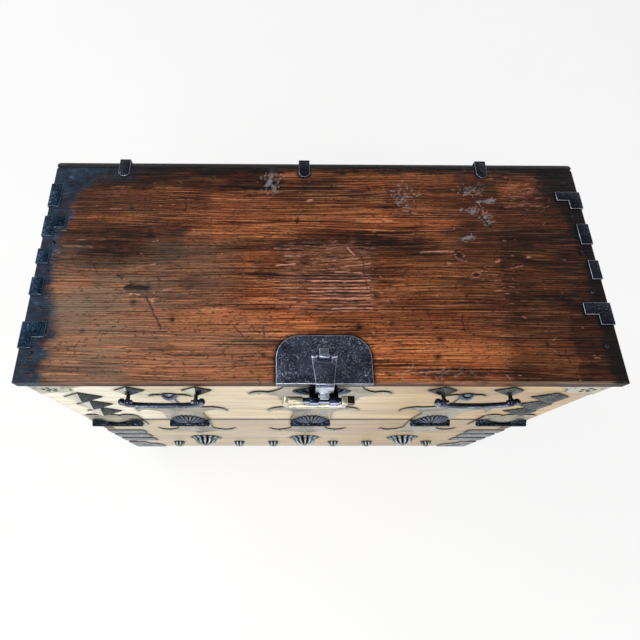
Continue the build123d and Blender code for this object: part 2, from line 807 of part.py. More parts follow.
# ================================================================ ornaments
def flap_ornaments():
    """Three lozenges and a pierced corner plate at each end of the flap."""
    for name, side in side_names:
        bosses = []
        for i in range(3):
            z = lozenge_low + lozenge_tall + i * (2 * lozenge_tall + lozenge_gap)
            boss = pyramid(lozenge_half, lozenge_tall, lozenge_rise, plate)
            bosses.append(on_front(side * (half_body - lozenge_inset), z) * boss)
        parts[f"flap_lozenges_{name}"] = group(bosses)

        high = -corner_plate_top
        wide = corner_plate_width
        tall = corner_plate_height
        low = high - tall
        face = outline(
            (0, high),
            (-wide - corner_plate_hook, high),
            ((-1.05 * wide, high - 0.16 * tall), (-0.875 * wide, high - 0.36 * tall)),
            ((-0.75 * wide, low + 0.28 * tall), (-0.53 * wide, low + 0.24 * tall)),
            ((-0.22 * wide, low + 0.16 * tall), (0, low)),
        )
        face -= piercing(5, -0.406 * wide, high - 0.4 * tall, 90)
        face -= Pos(-0.406 * wide, high - 0.4 * tall) * Circle(pierced_radius)
        if side < 0:
            face = mirror(face, Plane.YZ)
        parts[f"flap_corner_plate_{name}"] = on_front(side * half_body, z_top) * extrude(
            face, strap)


def piercing(count, x, z, first):
    """Round holes in a ring, the first one at an angle in degrees."""
    holes = []
    for i in range(count):
        turn = math.radians(first + 360 * i / count)
        spot = Pos(x + pierced_ring * math.cos(turn), z + pierced_ring * math.sin(turn))
        holes.append(spot * Circle(pierced_radius))
    return holes


def bent_plate(side, face, z, low, high, reach):
    """A plate on the front, drawn from the corner inwards, with a leg round the side."""
    if side < 0:
        face = mirror(face, Plane.YZ)
    solid = on_front(side * half_body, z) * extrude(face, strap)
    x0, x1 = sorted((side * half_body, side * (half_body + strap)))
    return solid + block(x0, x1, face_y - strap, face_y + reach, z + low, z + high)


def front_ornaments():
    """Corner straps, corner plates, three flowers with knobs, and six domed studs."""
    for name, side in side_names:
        bands = []
        half = strap_height / 2
        lobe = strap_height / 6
        flat = strap_front - lobe
        face = Pos(-flat / 2, 0) * Rectangle(flat, strap_height)
        for i in (-1, 0, 1):
            face += Pos(-flat, 2 * lobe * i) * Circle(lobe)
        for z in strap_middles:
            bands.append(bent_plate(side, face, z, -half, half, strap_side))
        parts[f"corner_straps_{name}"] = group(bands)

        tall = foot_plate_height
        wide = foot_plate_width
        shape = outline(
            (0, 0),
            (0, tall),
            (-wide * 0.55, tall),
            ((-wide * 0.62, tall * 0.72), (-wide * 0.8, tall * 0.62)),
            ((-wide * 0.97, tall * 0.45), (-wide, tall * 0.22)),
            (-wide, 0),
        )
        shape -= piercing(4, -0.46 * wide, 0.42 * tall, 45)
        parts[f"foot_plate_{name}"] = bent_plate(side, shape, z_foot, 0, tall, strap_side)

    plates = []
    knobs = []
    for i in (-1, 0, 1):
        x = i * flower_spacing
        z = z_foot + ornament_room * flower_share
        petals = Circle(flower_ring)
        for k in range(flower_petals):
            turn = 2 * math.pi * k / flower_petals
            petals += Pos(flower_ring * math.cos(turn), flower_ring * math.sin(turn)) * Circle(
                petal_radius)
        flower = extrude(petals, plate)
        flower += Pos(0, 0, plate) * dome(flower_core, flower_core_height)
        spot = on_front(x, z)
        hole = Pos(0, 0, -nail_length) * Cylinder(
            nail_shank_radius * 2, 4 * nail_length, align=(Align.CENTER, Align.CENTER, Align.MIN))
        knob_out = plate + flower_core_height - knob_sink + knob_radius
        knob = Pos(0, 0, knob_out) * Sphere(knob_radius)
        neck = Pos(0, 0, plate) * Cylinder(
            knob_neck, knob_out - plate, align=(Align.CENTER, Align.CENTER, Align.MIN))
        shank = Pos(0, 0, -nail_length) * Cylinder(
            nail_shank_radius * 2, nail_length + plate,
            align=(Align.CENTER, Align.CENTER, Align.MIN))
        plates.append(spot * (flower - hole - knob - neck))
        knobs.append(spot * (knob + neck + shank))
        parts["lower_front_board"] = parts["lower_front_board"] - spot * hole
    parts["flower_plates"] = group(plates)
    parts["flower_knobs"] = group(knobs)

    studs = []
    for i in (-1, 0, 1):
        for side in (-1, 1):
            spot = on_front(i * flower_spacing + side * stud_offset,
                            z_foot + ornament_room * stud_share)
            shank = Pos(0, 0, -nail_length / 2) * Cylinder(nail_shank_radius * 2, nail_length)
            studs.append(spot * (dome(stud_radius, stud_height) + shank))
            parts["lower_front_board"] = parts["lower_front_board"] - spot * shank
    parts["dome_studs"] = group(studs)


def top_straps():
    """Straps bent over the ends of the top board, and three over its back edge."""
    for (name, side), spots in zip(side_names, (edge_straps_left, edge_straps_right)):
        bands = []
        edge = top_width / 2
        for start, length, reach in spots:
            y0 = top_front_y + start * top_depth
            x0, x1 = sorted((side * (edge + strap), side * (edge - reach)))
            band = block(x0, x1, y0, y0 + length, z_top, z_top + strap)
            fall = y0
            if reach > long_strap:
                x0, x1 = sorted((side * (edge + strap), side * (edge - reach / 2)))
                band += block(x0, x1, y0 - edge_strap_step, y0, z_top, z_top + strap)
                fall = y0 - edge_strap_step
            x0, x1 = sorted((side * edge, side * (edge + strap)))
            band += block(x0, x1, fall, y0 + length, z_top - edge_strap_fall, z_top + strap)
            bands.append(band)
        parts[f"top_straps_{name}"] = group(bands)

    bands = []
    half = back_strap_width / 2
    for spot in back_strap_spots:
        x = spot * top_width / 2
        tongue = outline(
            (-half, 0),
            (half, 0),
            (half, -back_strap_length + half),
            ((0, -back_strap_length), (-half, -back_strap_length + half)),
        )
        band = Pos(x, back_y, z_top) * extrude(tongue, strap)
        band += block(x - half, x + half, back_y, back_y + strap,
                      z_top - back_strap_length, z_top + strap)
        bands.append(band)
    parts["back_straps"] = group(bands)


def nails():
    """The visible nails of the flap, the lower front and the top."""
    flap = Nails()
    lower = Nails()
    hook_x = leaf_waist + 0.56 * (hook_reach - leaf_waist)
    hook_z = shoulder_height - leaf_nail_drop
    for x in (-leaf_spacing, 0.0, leaf_spacing):
        for side in (-1, 1):
            flap.front(x + side * hook_x, z_hinge + hook_z)
            lower.front(x + side * hook_x, z_hinge - hook_z)
        flap.front(x, z_hinge + hook_z - 5)
        lower.front(x, z_hinge - crown_height + 10)
    for side in (-1, 1):
        for end in (-1, 1):
            x = side * end_hinge_x + end * (end_leaf_half - 7)
            flap.front(x, z_hinge + end_leaf_height - end_leaf_nail)
            lower.front(x, z_hinge - end_leaf_height + end_leaf_nail)
        flap.front(lock_x + side * (front_hook_reach - 14), z_top - front_hook_drop + 8)
        flap.front(lock_x + side * 0.8 * front_plate_half,
                   z_top - front_hook_drop - 0.6 * (front_plate_bottom - front_hook_drop))
        flap.front(side * (half_body - 8), z_top - corner_plate_top - 10, strap)
        flap.front(side * (half_body - 0.78 * corner_plate_width),
                   z_top - corner_plate_top - 8, strap)
        for z in strap_middles:
            lower.front(side * (half_body - strap_front + 22), z + 9, strap)
            lower.front(side * (half_body - 12), z, strap)
        lower.front(side * (half_body - foot_plate_width + 8), z_foot + 10, strap)
        lower.front(side * (half_body - 9), z_foot + foot_plate_height - 10, strap)
    flap.holes("flap_board", "lock_plate_front")
    lower.holes("lower_front_board")
    for name in ("far_left", "left", "centre", "right", "far_right"):
        flap.holes(f"hinge_upper_leaf_{name}")
        lower.holes(f"hinge_lower_leaf_{name}")
    for name, _ in side_names:
        flap.holes(f"flap_corner_plate_{name}")
        lower.holes(f"corner_straps_{name}", f"foot_plate_{name}", f"side_board_{name}")
    parts["flap_nails"] = group(flap.heads)
    parts["front_nails"] = group(lower.heads)

    top = Nails()
    for across, back in top_plate_spots:
        top.top(lock_x + across * top_plate_half, back * top_plate_depth, plate)
    top.holes("lock_plate_top", "top_board")
    parts["top_plate_nails"] = group(top.heads)
    edge = Nails()
    inset = side_overhang + board_thickness / 2
    for side, spots in ((-1, top_nails_left), (1, top_nails_right)):
        for back in spots:
            edge.top(side * (top_width / 2 - inset), back * top_depth)
    edge.holes("top_board")
    parts["top_board_nails"] = group(edge.heads)


carcass()
stand()
hinges()
lock_plates()
hasp_pivot = hasp()
padlock()
handles()
flap_ornaments()
front_ornaments()
top_straps()
nails()

for node, shape in parts.items():
    export_step(shape, f"parts/{node}.step")

print("nodes", len(parts))
print("face_y", round(face_y, 3), "z_top", z_top)
print("flap pivot", 0, round(hinge_y, 3), z_hinge)
print("hasp pivot", lock_x, [round(v, 3) for v in hasp_pivot])
print("padlock pivot", lock_x, round(bar_y, 3), z_bar)
print("handle pivot", handle_x, round(face_y - post_standoff, 3), z_post)
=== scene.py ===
# %% [markdown]
# # A Korean bandaji
# A bandaji is a pine blanket chest whose front half drops down on iron hinges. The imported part
# brings every board and mount in its right place. This script gives them the finish of an old
# waxed chest: worn edges, raised grain, chased iron, pale brass. The chest's own frame is used
# throughout: metres, front towards -Y, the floor at z = 0.

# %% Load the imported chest
import json
import math

import bmesh
import bpy
import numpy as np
from mathutils import Matrix, Vector
from mathutils.bvhtree import BVHTree

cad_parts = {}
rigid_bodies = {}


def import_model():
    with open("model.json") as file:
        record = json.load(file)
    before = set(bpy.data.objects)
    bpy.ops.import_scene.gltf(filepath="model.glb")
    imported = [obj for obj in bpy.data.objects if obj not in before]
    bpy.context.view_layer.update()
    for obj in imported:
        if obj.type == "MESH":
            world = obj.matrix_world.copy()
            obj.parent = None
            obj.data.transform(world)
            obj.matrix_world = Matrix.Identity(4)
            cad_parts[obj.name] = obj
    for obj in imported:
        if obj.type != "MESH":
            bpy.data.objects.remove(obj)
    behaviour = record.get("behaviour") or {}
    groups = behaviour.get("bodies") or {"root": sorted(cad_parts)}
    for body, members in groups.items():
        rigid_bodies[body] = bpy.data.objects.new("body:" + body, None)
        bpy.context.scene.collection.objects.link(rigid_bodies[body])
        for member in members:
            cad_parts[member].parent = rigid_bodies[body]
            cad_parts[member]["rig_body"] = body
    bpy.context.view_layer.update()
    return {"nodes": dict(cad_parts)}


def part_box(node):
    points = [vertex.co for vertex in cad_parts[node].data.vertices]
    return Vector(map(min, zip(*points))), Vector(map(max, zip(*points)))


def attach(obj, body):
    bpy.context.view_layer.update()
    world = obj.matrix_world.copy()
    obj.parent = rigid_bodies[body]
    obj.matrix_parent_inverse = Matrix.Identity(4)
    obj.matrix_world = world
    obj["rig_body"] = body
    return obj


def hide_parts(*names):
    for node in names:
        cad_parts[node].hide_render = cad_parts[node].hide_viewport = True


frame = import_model()
nodes = frame["nodes"]
MM = 0.001
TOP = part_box("top_board")
Z_TOP = TOP[1].z
Y_EDGE = TOP[0].y
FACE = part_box("flap_board")[0].y
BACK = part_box("back_board_upper")[1].y
Z_HINGE = (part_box("hinge_pins")[0].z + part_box("hinge_pins")[1].z) / 2
print("nodes", len(nodes), "top", round(Z_TOP, 4), "face", round(FACE, 4))

# %% [markdown]
# ## Colours
# Blender mixes light in linear values, and hex colours are written for the screen. One function
# turns a hex colour into linear values.


# %% Colour
def linear(code):
    """An sRGB hex colour such as #6b3a1e as linear RGBA."""
    shares = [int(code[i:i + 2], 16) / 255 for i in (1, 3, 5)]
    return [s / 12.92 if s <= 0.04045 else ((s + 0.055) / 1.055) ** 2.4 for s in shares] + [1.0]


print("pale pine", [round(v, 3) for v in linear("#cdb590")])

# %% [markdown]
# ## Adding shader nodes
# A material is a small network. One function adds a node, sets its properties and fills its
# sockets, either with a number or with another node's output. A colour ramp's stops are a setting.


# %% A material and its nodes
def start(name):
    """A new material with an empty tree, which node() then fills."""
    global tree
    material = bpy.data.materials.new(name)
    material.use_nodes = True
    tree = material.node_tree
    tree.nodes.clear()
    return material


def node(kind, settings=None, sockets=None, out=0):
    """Add one node; a socket is filled by a value or by another node's output."""
    made = tree.nodes.new("ShaderNode" + kind)
    for key, value in (settings or {}).items():
        if key == "ramp":
            stops = made.color_ramp.elements
            while len(stops) < len(value):
                stops.new(0.5)
            for stop, (place, colour) in zip(stops, value):
                stop.position = place
                stop.color = linear(colour)
        else:
            setattr(made, key, value)
    for key, value in (sockets or {}).items():
        if isinstance(value, bpy.types.NodeSocket):
            tree.links.new(value, made.inputs[key])
        else:
            made.inputs[key].default_value = value
    return made.outputs[out] if made.outputs else None


print("node helper ready")

# %% [markdown]
# ## Waxed pine
# Softwood grows in rings: a soft pale band, then a thin dark hard one. Sawn along the trunk they
# are lines about 3 mm apart, which bend slowly; they are drawn 4.2 mm apart, so that they show.
# Years of rubbing wear the soft bands down, so the lines also stand up a little. A saw-tooth wave
# gives the abrupt dark edge of a ring, noise stretched along the board bends and breaks it, and
# finer noise gives the fibres. Real fibres are a tenth of a millimetre wide; they are drawn 2.4 mm
# wide, for the same reason. One recipe serves the dark top, the pale front and the brown sides,
# with other colours. On the sides and the feet the grain runs from front to back.


# %% Pine recipe
RING = 4.2 * MM
FIBRE_MM = 2.4


def streaks(place, along_mm, across_mm, detail=3.0):
    """Noise whose blots are long along X and narrow across it."""
    sizes = (1 / (along_mm * MM), 1 / (across_mm * MM), 1 / (across_mm * MM))
    squeezed = node("Mapping", {}, {"Vector": place, "Scale": sizes})
    return node("TexNoise", {}, {"Vector": squeezed, "Scale": 1.0, "Detail": detail,
                                 "Roughness": 0.6})


def pine(name, tones, line, light, rough, relief_mm, marks, depth, pits, shine=0.5,
         turned=False):
    """Pine with its grain along X, or along Y when turned: a ramp of tones, dark rings in the
    colour line, and a painted highlight on the raised fibres in a pale colour."""
    material = start(name)
    place = node("TexCoord", out="Object")
    if turned:
        place = node("Mapping", {}, {"Vector": place, "Rotation": (0, 0, math.radians(90))})
    # the lines bend slowly by three rings and quiver by a third of a ring
    bend = node("MapRange", {}, {"Value": streaks(place, 520, 120, 1.0),
                                 "To Min": -3 * RING, "To Max": 3 * RING})
    quiver = node("MapRange", {}, {"Value": streaks(place, 140, 14, 2.0),
                                   "To Min": -0.3 * RING, "To Max": 0.3 * RING})
    shift = node("Math", {"operation": "ADD"}, {0: bend, 1: quiver})
    push = node("CombineXYZ", {}, {"Y": shift, "Z": shift})
    bent = node("VectorMath", {"operation": "ADD"}, {0: place, 1: push})

    # one saw tooth for each ring; a diagonal wave's period is 2 pi / (10 * scale)
    across = node("Mapping", {}, {"Vector": bent, "Scale": (0.02, 1.0, 1.0)})
    tooth = node("TexWave", {"wave_type": "BANDS", "bands_direction": "DIAGONAL",
                             "wave_profile": "SAW"},
                 {"Vector": across, "Scale": 2 * math.pi / (10 * RING), "Distortion": 0.0},
                 out="Fac")
    hard = node("ValToRGB", {"ramp": [(0.46, "#000000"), (0.76, "#ffffff"), (1.0, "#303030")]},
                {"Fac": tooth})
    # rings fade in and out along the board and break up
    fade = node("MapRange", {}, {"Value": streaks(place, 240, 30), "From Min": 0.36,
                                 "From Max": 0.58, "To Min": 0.1, "To Max": 1.0})
    chipped = node("MapRange", {}, {"Value": streaks(place, 55, 5.0), "From Min": 0.34,
                                    "From Max": 0.50, "To Min": 0.3, "To Max": 1.0})
    rings = node("Math", {"operation": "MULTIPLY"}, {0: hard, 1: fade})
    rings = node("Math", {"operation": "MULTIPLY"}, {0: rings, 1: chipped})

    # colour from below: the tone of the wood, dark fibres, a painted highlight on the raised
    # fibres, the rings
    tone = streaks(bent, 330, 42, 6.0)
    colour = node("ValToRGB", {"ramp": tones}, {"Fac": tone})
    strand = streaks(bent, 190, FIBRE_MM)
    sunk = node("MapRange", {}, {"Value": strand, "From Min": 0.49, "From Max": 0.36,
                                 "To Max": 0.9 * depth})
    colour = node("MixRGB", {}, {"Fac": sunk, "Color1": colour, "Color2": linear(line)})
    raised = node("MapRange", {}, {"Value": streaks(bent, 120, FIBRE_MM, 2.0), "From Min": 0.50,
                                   "From Max": 0.64})
    caught = node("Math", {"operation": "MULTIPLY"}, {0: raised, 1: 0.6 * depth})
    colour = node("MixRGB", {}, {"Fac": caught, "Color1": colour, "Color2": linear(light)})
    deep_rings = node("Math", {"operation": "MULTIPLY"}, {0: rings, 1: depth})
    colour = node("MixRGB", {}, {"Fac": deep_rings, "Color1": colour, "Color2": linear(line)})

    # pores along the grain, 9 mm by 2 mm, filled with old wax, and small dents of 3 mm
    pore = node("MapRange", {}, {"Value": streaks(place, 9, 1.8, 2.0), "From Min": 0.60,
                                 "From Max": 0.68, "To Max": pits})
    nick = node("MapRange", {}, {"Value": streaks(place, 2.4, 3.2, 2.0), "From Min": 0.64,
                                 "From Max": 0.71, "To Max": pits})
    pore = node("Math", {"operation": "MAXIMUM"}, {0: pore, 1: nick})
    colour = node("MixRGB", {}, {"Fac": pore, "Color1": colour, "Color2": linear(line)})
    height = node("Math", {"operation": "MULTIPLY_ADD"}, {0: strand, 1: 0.8, 2: rings})
    height = node("Math", {"operation": "SUBTRACT"}, {0: height, 1: pore})
    height = node("Math", {"operation": "ADD"}, {0: height, 1: raised})
    sheen = node("MapRange", {}, {"Value": tone, "From Min": 0.3, "From Max": 0.7,
                                  "To Min": rough - 0.06, "To Max": rough + 0.08})
    colour, sheen, height = marks(colour, sheen, height, strand, place)
    carved = node("Bump", {}, {"Height": height, "Strength": 0.9,
                               "Distance": relief_mm * MM})
    surface = node("BsdfPrincipled", {}, {"Base Color": colour, "Roughness": sheen,
                                          "Normal": carved, "Specular IOR Level": shine})
    node("OutputMaterial", {}, {"Surface": surface})
    return material


print("pine recipe ready")

# %% [markdown]
# ## What a century leaves on pine
# Grime gathers beside the iron, with painted shade there as well; edges go black from hands, and
# scratches lay bare the pink wood under the stain. A painted sheen stands for light reflected by
# the wax. All of it could be one painted picture, but a picture is tied to one size; here the
# boards' meshes carry soft masks, painted below where each mark lies, and the shader turns them
# into colour.
# The grain still shows through, because wear takes the soft bands first. Soot at the left end has
# a blue bloom of old wax with a painted bluish reflection on it; elsewhere it is brown-black.


# %% Marks of age
def aged(soot_and_shade, bare, haze, bloom_and_sheen=None):
    """Shader steps that read the masks of age and of painted light from the mesh; bloom colours
    the left end blue, as wax bloom with a painted bluish reflection on it.
    """
    def steps(colour, sheen, height, strand, place):
        mask = {m: node("Attribute", {"attribute_name": m}, out="Fac")
                for m in ("grime", "shade", "bare", "haze", "glow", "slit", "scuff")}
        # rubbed places are brighter and warmer, soaked ones darker, in patches of 60 mm
        warmer = node("VectorMath", {"operation": "MULTIPLY"},
                      {0: colour, 1: (1.80, 1.58, 1.34)})
        colour = node("MixRGB", {}, {"Fac": mask["glow"], "Color1": colour, "Color2": warmer})
        darker = node("VectorMath", {"operation": "MULTIPLY"},
                      {0: colour, 1: (0.10, 0.075, 0.08)})
        patchy = node("MapRange", {}, {"Value": streaks(place, 60, 9), "From Min": 0.30,
                                       "From Max": 0.60, "To Min": 0.72, "To Max": 1.12})
        soaked = node("Math", {"operation": "MULTIPLY"}, {0: mask["shade"], 1: patchy})
        colour = node("MixRGB", {}, {"Fac": soaked, "Color1": colour, "Color2": darker})
        # a painted sheen, light reflected by the wax, lies on the raised strands
        grain = node("MapRange", {}, {"Value": strand, "From Min": 0.38, "From Max": 0.58,
                                      "To Min": 0.35, "To Max": 1.15})
        sheen_strands = node("Math", {"operation": "MULTIPLY"}, {0: mask["haze"], 1: grain})
        colour = node("MixRGB", {}, {"Fac": sheen_strands, "Color1": colour, "Color2": linear(haze)})
        chalk = node("Math", {"operation": "MULTIPLY"}, {0: mask["scuff"], 1: 0.8})
        colour = node("MixRGB", {}, {"Fac": chalk, "Color1": colour,
                                     "Color2": linear("#b2b0b4")})
        # bare wood shows in broken streaks along the grain, 2 mm wide
        broken = node("MapRange", {}, {"Value": streaks(place, 30, 2.2, 3.0),
                                       "From Min": 0.46, "From Max": 0.60})
        sure = node("MapRange", {}, {"Value": mask["bare"], "From Min": 0.5, "From Max": 1.0})
        show = node("Math", {"operation": "MAXIMUM"}, {0: broken, 1: sure})
        show = node("Math", {"operation": "MULTIPLY"}, {0: show, 1: mask["bare"]})
        colour = node("MixRGB", {}, {"Fac": show, "Color1": colour, "Color2": linear(bare)})
        # grime, and the painted shade beside the iron, have a ragged border of 7 mm
        rag = node("TexNoise", {}, {"Vector": place, "Scale": 1 / (7 * MM), "Detail": 5.0,
                                    "Roughness": 0.65})
        rag = node("MapRange", {}, {"Value": rag, "From Min": 0.3, "From Max": 0.7,
                                    "To Min": 0.72, "To Max": 1.28})
        soil_and_shade = node("Math", {"operation": "MULTIPLY"}, {0: mask["grime"], 1: rag})
        soil_and_shade = node("Math", {"operation": "MINIMUM"}, {0: soil_and_shade, 1: 0.97})
        black = linear(soot_and_shade)
        if bloom_and_sheen:
            # the left end's blue: wax bloom with a painted bluish reflection of the window light
            bloom_and_sheen_mottle = node("TexNoise", {}, {"Vector": place, "Scale": 1 / (14 * MM), "Detail": 6.0,
                                         "Roughness": 0.62})
            blue = node("ValToRGB", {"ramp": bloom_and_sheen}, {"Fac": bloom_and_sheen_mottle})
            side = node("SeparateXYZ", {}, {"Vector": place})
            left = node("MapRange", {}, {"Value": side, "From Min": -0.28, "From Max": -0.39})
            black = node("MixRGB", {}, {"Fac": left, "Color1": black, "Color2": blue})
        colour = node("MixRGB", {}, {"Fac": soil_and_shade, "Color1": colour, "Color2": black})
        colour = node("MixRGB", {}, {"Fac": mask["slit"], "Color1": colour,
                                     "Color2": linear("#0a0505")})
        sheen = node("Math", {"operation": "MULTIPLY_ADD"}, {0: mask["haze"], 1: 0.1, 2: sheen})
        height = node("Math", {"operation": "SUBTRACT"}, {0: height, 1: show})
        return colour, sheen, height
    return steps


# in each pine below, the colour after the ring colour is the painted highlight on raised fibres
TOP_TONES = [(0.30, "#442214"), (0.44, "#703b23"), (0.56, "#90502e"), (0.70, "#aa673e")]
FRONT_TONES = [(0.30, "#9c7c58"), (0.44, "#b89c76"), (0.58, "#ccb182"), (0.72, "#d8c398")]
CASE_TONES = [(0.28, "#4a2c1c"), (0.45, "#6b4329"), (0.60, "#7d5236"), (0.74, "#8c6142")]
# blue of old wax bloom, lightened by a painted bluish reflection
BLOOM_AND_SHEEN = [(0.32, "#08111c"), (0.50, "#172a3c"), (0.64, "#263b4f"), (0.78, "#647e92")]
# the third colour given to aged is a painted sheen, light reflected by the wax
pine_top = pine("waxed_red_pine", TOP_TONES, "#120402", "#d08c5c", 0.42, 0.6,
                aged("#0a0708", "#e2a088", "#80705f", BLOOM_AND_SHEEN), 1.0, 0.9, 0.12)
pine_front = pine("pale_waxed_pine", FRONT_TONES, "#80623f", "#dccaa6", 0.40, 0.2,
                  aged("#140e09", "#e2cfb0", "#efecdc"), 0.5, 0.35)
pine_case, pine_side = [
    pine(name, CASE_TONES, "#2e1a10", "#94694a", 0.45, 0.35,
         aged("#0b0b10", "#a0714c", "#7a6a5c"), 0.6, 0.7, 0.25, turned)
    for name, turned in (("brown_case_pine", False), ("brown_side_pine", True))]
print("pine finishes", pine_top.name, pine_front.name, pine_case.name, pine_side.name)

# %% [markdown]
# ## Wrought iron
# The mounts are hammered iron, blackened, waxed and handled for a century: dark blue-grey with
# paler flecks where the black has worn, brightest along the edges. Iron is a metal, so it has no
# colour of its own under the gloss; the base colour is the tint of its reflection. The pale
# colours of the mounts on the front are a painted reflection of the pale room on iron seen
# edge-on. One mask marks the rounded edges and, on a few front faces, painted highlights; another
# darkens the upward edges and the barrels, the barrels and the shadow side of the ridged lozenges
# as painted shade. The sides of a handled bail that don't face the front are painted dark as
# shade, and its front keeps the bright iron; its finish looks at which way its own surface faces.
# Hammer blows are 9 mm wide, or
# 3 mm where fine chasing was done. The flecks are 1 mm on real iron and are drawn 2 to 3 mm wide,
# so that they show.


# %% Iron recipe
def iron(name, dark, middle, pale, edge, rough, fleck_mm=2.2, flecks=0.55, hammer_mm=9.0,
         turned_away_shade=0.0):
    """Blackened iron with paler flecks and worn edges; the last setting is how dark the sides that
    don't face the front are painted, as shade."""
    material = start(name)
    place = node("TexCoord", out="Object")
    cloud = node("TexNoise", {}, {"Vector": place, "Scale": 1 / (24 * MM), "Detail": 5.0,
                                  "Roughness": 0.65})
    colour = node("ValToRGB", {"ramp": [(0.34, dark), (0.62, middle)]}, {"Fac": cloud})
    grit = node("TexNoise", {}, {"Vector": place, "Scale": 1 / (fleck_mm * MM), "Detail": 4.0,
                                 "Roughness": 0.7})
    spot = node("TexNoise", {}, {"Vector": place, "Scale": 1 / (40 * MM), "Detail": 2.0})
    fleck = node("MapRange", {}, {"Value": grit, "From Min": 0.52, "From Max": 0.66,
                                  "To Max": flecks})
    spread = node("MapRange", {}, {"Value": spot, "From Min": 0.32, "From Max": 0.56,
                                   "To Min": 0.25, "To Max": 1.0})
    fleck = node("Math", {"operation": "MULTIPLY"}, {0: fleck, 1: spread})
    colour = node("MixRGB", {}, {"Fac": fleck, "Color1": colour, "Color2": linear(pale)})
    worn = node("Attribute", {"attribute_name": "worn"}, out="Fac")
    rubbed_and_lit = node("MapRange", {}, {"Value": cloud, "From Min": 0.3, "From Max": 0.6,
                                   "To Min": 0.45, "To Max": 1.0})
    worn = node("Math", {"operation": "MULTIPLY"}, {0: worn, 1: rubbed_and_lit})
    colour = node("MixRGB", {}, {"Fac": worn, "Color1": colour, "Color2": linear(edge)})
    black = node("Attribute", {"attribute_name": "black"}, out="Fac")
    # sides that don't face the front are painted dark, as shade
    if turned_away_shade:
        facing = node("SeparateXYZ", {}, {"Vector": node("TexCoord", out="Normal")}, out="Y")
        black = node("MapRange", {}, {"Value": facing, "From Min": -0.62, "From Max": -0.40,
                                      "To Max": turned_away_shade})
    soot_and_shade = node("ValToRGB", {"ramp": [(0.38, "#0c0e13"), (0.56, "#1e2530"), (0.68, "#687485")]},
                {"Fac": grit})
    colour = node("MixRGB", {}, {"Fac": black, "Color1": colour, "Color2": soot_and_shade})
    gloss = node("MapRange", {}, {"Value": grit, "From Min": 0.35, "From Max": 0.7,
                                  "To Min": rough + 0.08, "To Max": rough - 0.06})
    gloss = node("MixRGB", {}, {"Fac": worn, "Color1": gloss, "Color2": (0.28, 0.28, 0.28, 1.0)})
    blows = node("TexVoronoi", {"feature": "SMOOTH_F1"},
                 {"Vector": place, "Scale": 1 / (hammer_mm * MM), "Smoothness": 0.6})
    height = node("Math", {"operation": "MULTIPLY_ADD"}, {0: grit, 1: 0.35, 2: blows})
    dented = node("Bump", {}, {"Height": height, "Strength": 0.6, "Distance": 0.5 * MM})
    surface = node("BsdfPrincipled", {}, {"Base Color": colour, "Metallic": 1.0,
                                          "Roughness": gloss, "Normal": dented})
    node("OutputMaterial", {}, {"Surface": surface})
    return material


iron_black = iron("blackened_iron", "#15181f", "#292c37", "#7f8898", "#aab8c8", 0.40)
iron_plate = iron("flecked_lock_iron", "#232632", "#484e62", "#b9c0d4", "#ccd4e0", 0.38,
                  2.4, 0.95)
# the pale colours of this front iron, the lozenges and the corner iron are a painted reflection of
# the pale room on iron seen edge-on
iron_front = iron("front_iron_painted_reflection", "#827e70", "#b3ab97", "#d2ccb8", "#4c4e4c", 0.30,
                  3.0, 0.5)
iron_strap = iron("blued_strap_iron", "#3b4450", "#6b7480", "#a6afb8", "#23272e", 0.32,
                  3.0, 0.6)
iron_ridged = iron("ridged_lozenge_iron", "#6a7070", "#989a92", "#c4c6bc", "#e6e4d2", 0.28,
                   3.0, 0.5)
iron_pale = iron("corner_iron_painted_reflection", "#a7a595", "#cbc8b8", "#e2e0d4", "#8c8c84", 0.34,
                 3.0, 0.5)
# the left straps' blue is wax bloom with a painted bluish reflection
iron_bloom_and_sheen = iron("left_iron_bloom_and_reflection", "#0a141f", "#18293a", "#587084", "#7c94a8", 0.42,
                  3.0, 0.6)
iron_knuckle = iron("waxed_knuckle_iron", "#0d1119", "#1d2534", "#7c8aa4", "#aab6d0", 0.34)
# bails, finials and knobs: bright on their front, painted shade on their other sides
iron_steel = iron("bright_iron_shaded_sides", "#38404e", "#6c7a8c", "#b8c4ce", "#ccd8e2", 0.20,
                  turned_away_shade=0.9)
# the hasp's loop is pale as a painted reflection
iron_loop = iron("bright_loop_iron", "#55606e", "#8c99ac", "#ccd6e4", "#e2e8f0", 0.30)
iron_block = iron("oily_block_iron", "#17160c", "#35321f", "#8a8468", "#c9c7b0", 0.34)
print("iron finishes made")

# %% [markdown]
# ## Brass
# The padlock is cast brass, rubbed pale on its faces and brown in the corners. Brass is copper and
# zinc; its reflection is yellow, and an old waxed casting is so pale that it is nearly the colour
# of straw. A soft noise makes the tarnish.

# %% Pale brass
brass = start("rubbed_brass")
place = node("TexCoord", out="Object")
tarnish = node("TexNoise", {}, {"Vector": place, "Scale": 1 / (7 * MM), "Detail": 5.0,
                                "Roughness": 0.6})
colour = node("ValToRGB", {"ramp": [(0.30, "#8f876a"), (0.45, "#c9c2a6"), (0.65, "#e6e1cd")]},
              {"Fac": tarnish})
worn = node("Attribute", {"attribute_name": "worn"}, out="Fac")
colour = node("MixRGB", {}, {"Fac": worn, "Color1": colour, "Color2": linear("#f8f5e6")})
gloss = node("MapRange", {}, {"Value": tarnish, "From Min": 0.3, "From Max": 0.65,
                              "To Min": 0.42, "To Max": 0.26})
scuff = node("TexNoise", {}, {"Vector": place, "Scale": 1 / (1.5 * MM), "Detail": 3.0})
dented = node("Bump", {}, {"Height": scuff, "Strength": 0.3, "Distance": 0.2 * MM})
surface = node("BsdfPrincipled", {}, {"Base Color": colour, "Metallic": 1.0,
                                      "Roughness": gloss, "Normal": dented})
node("OutputMaterial", {}, {"Surface": surface})
print("brass made")

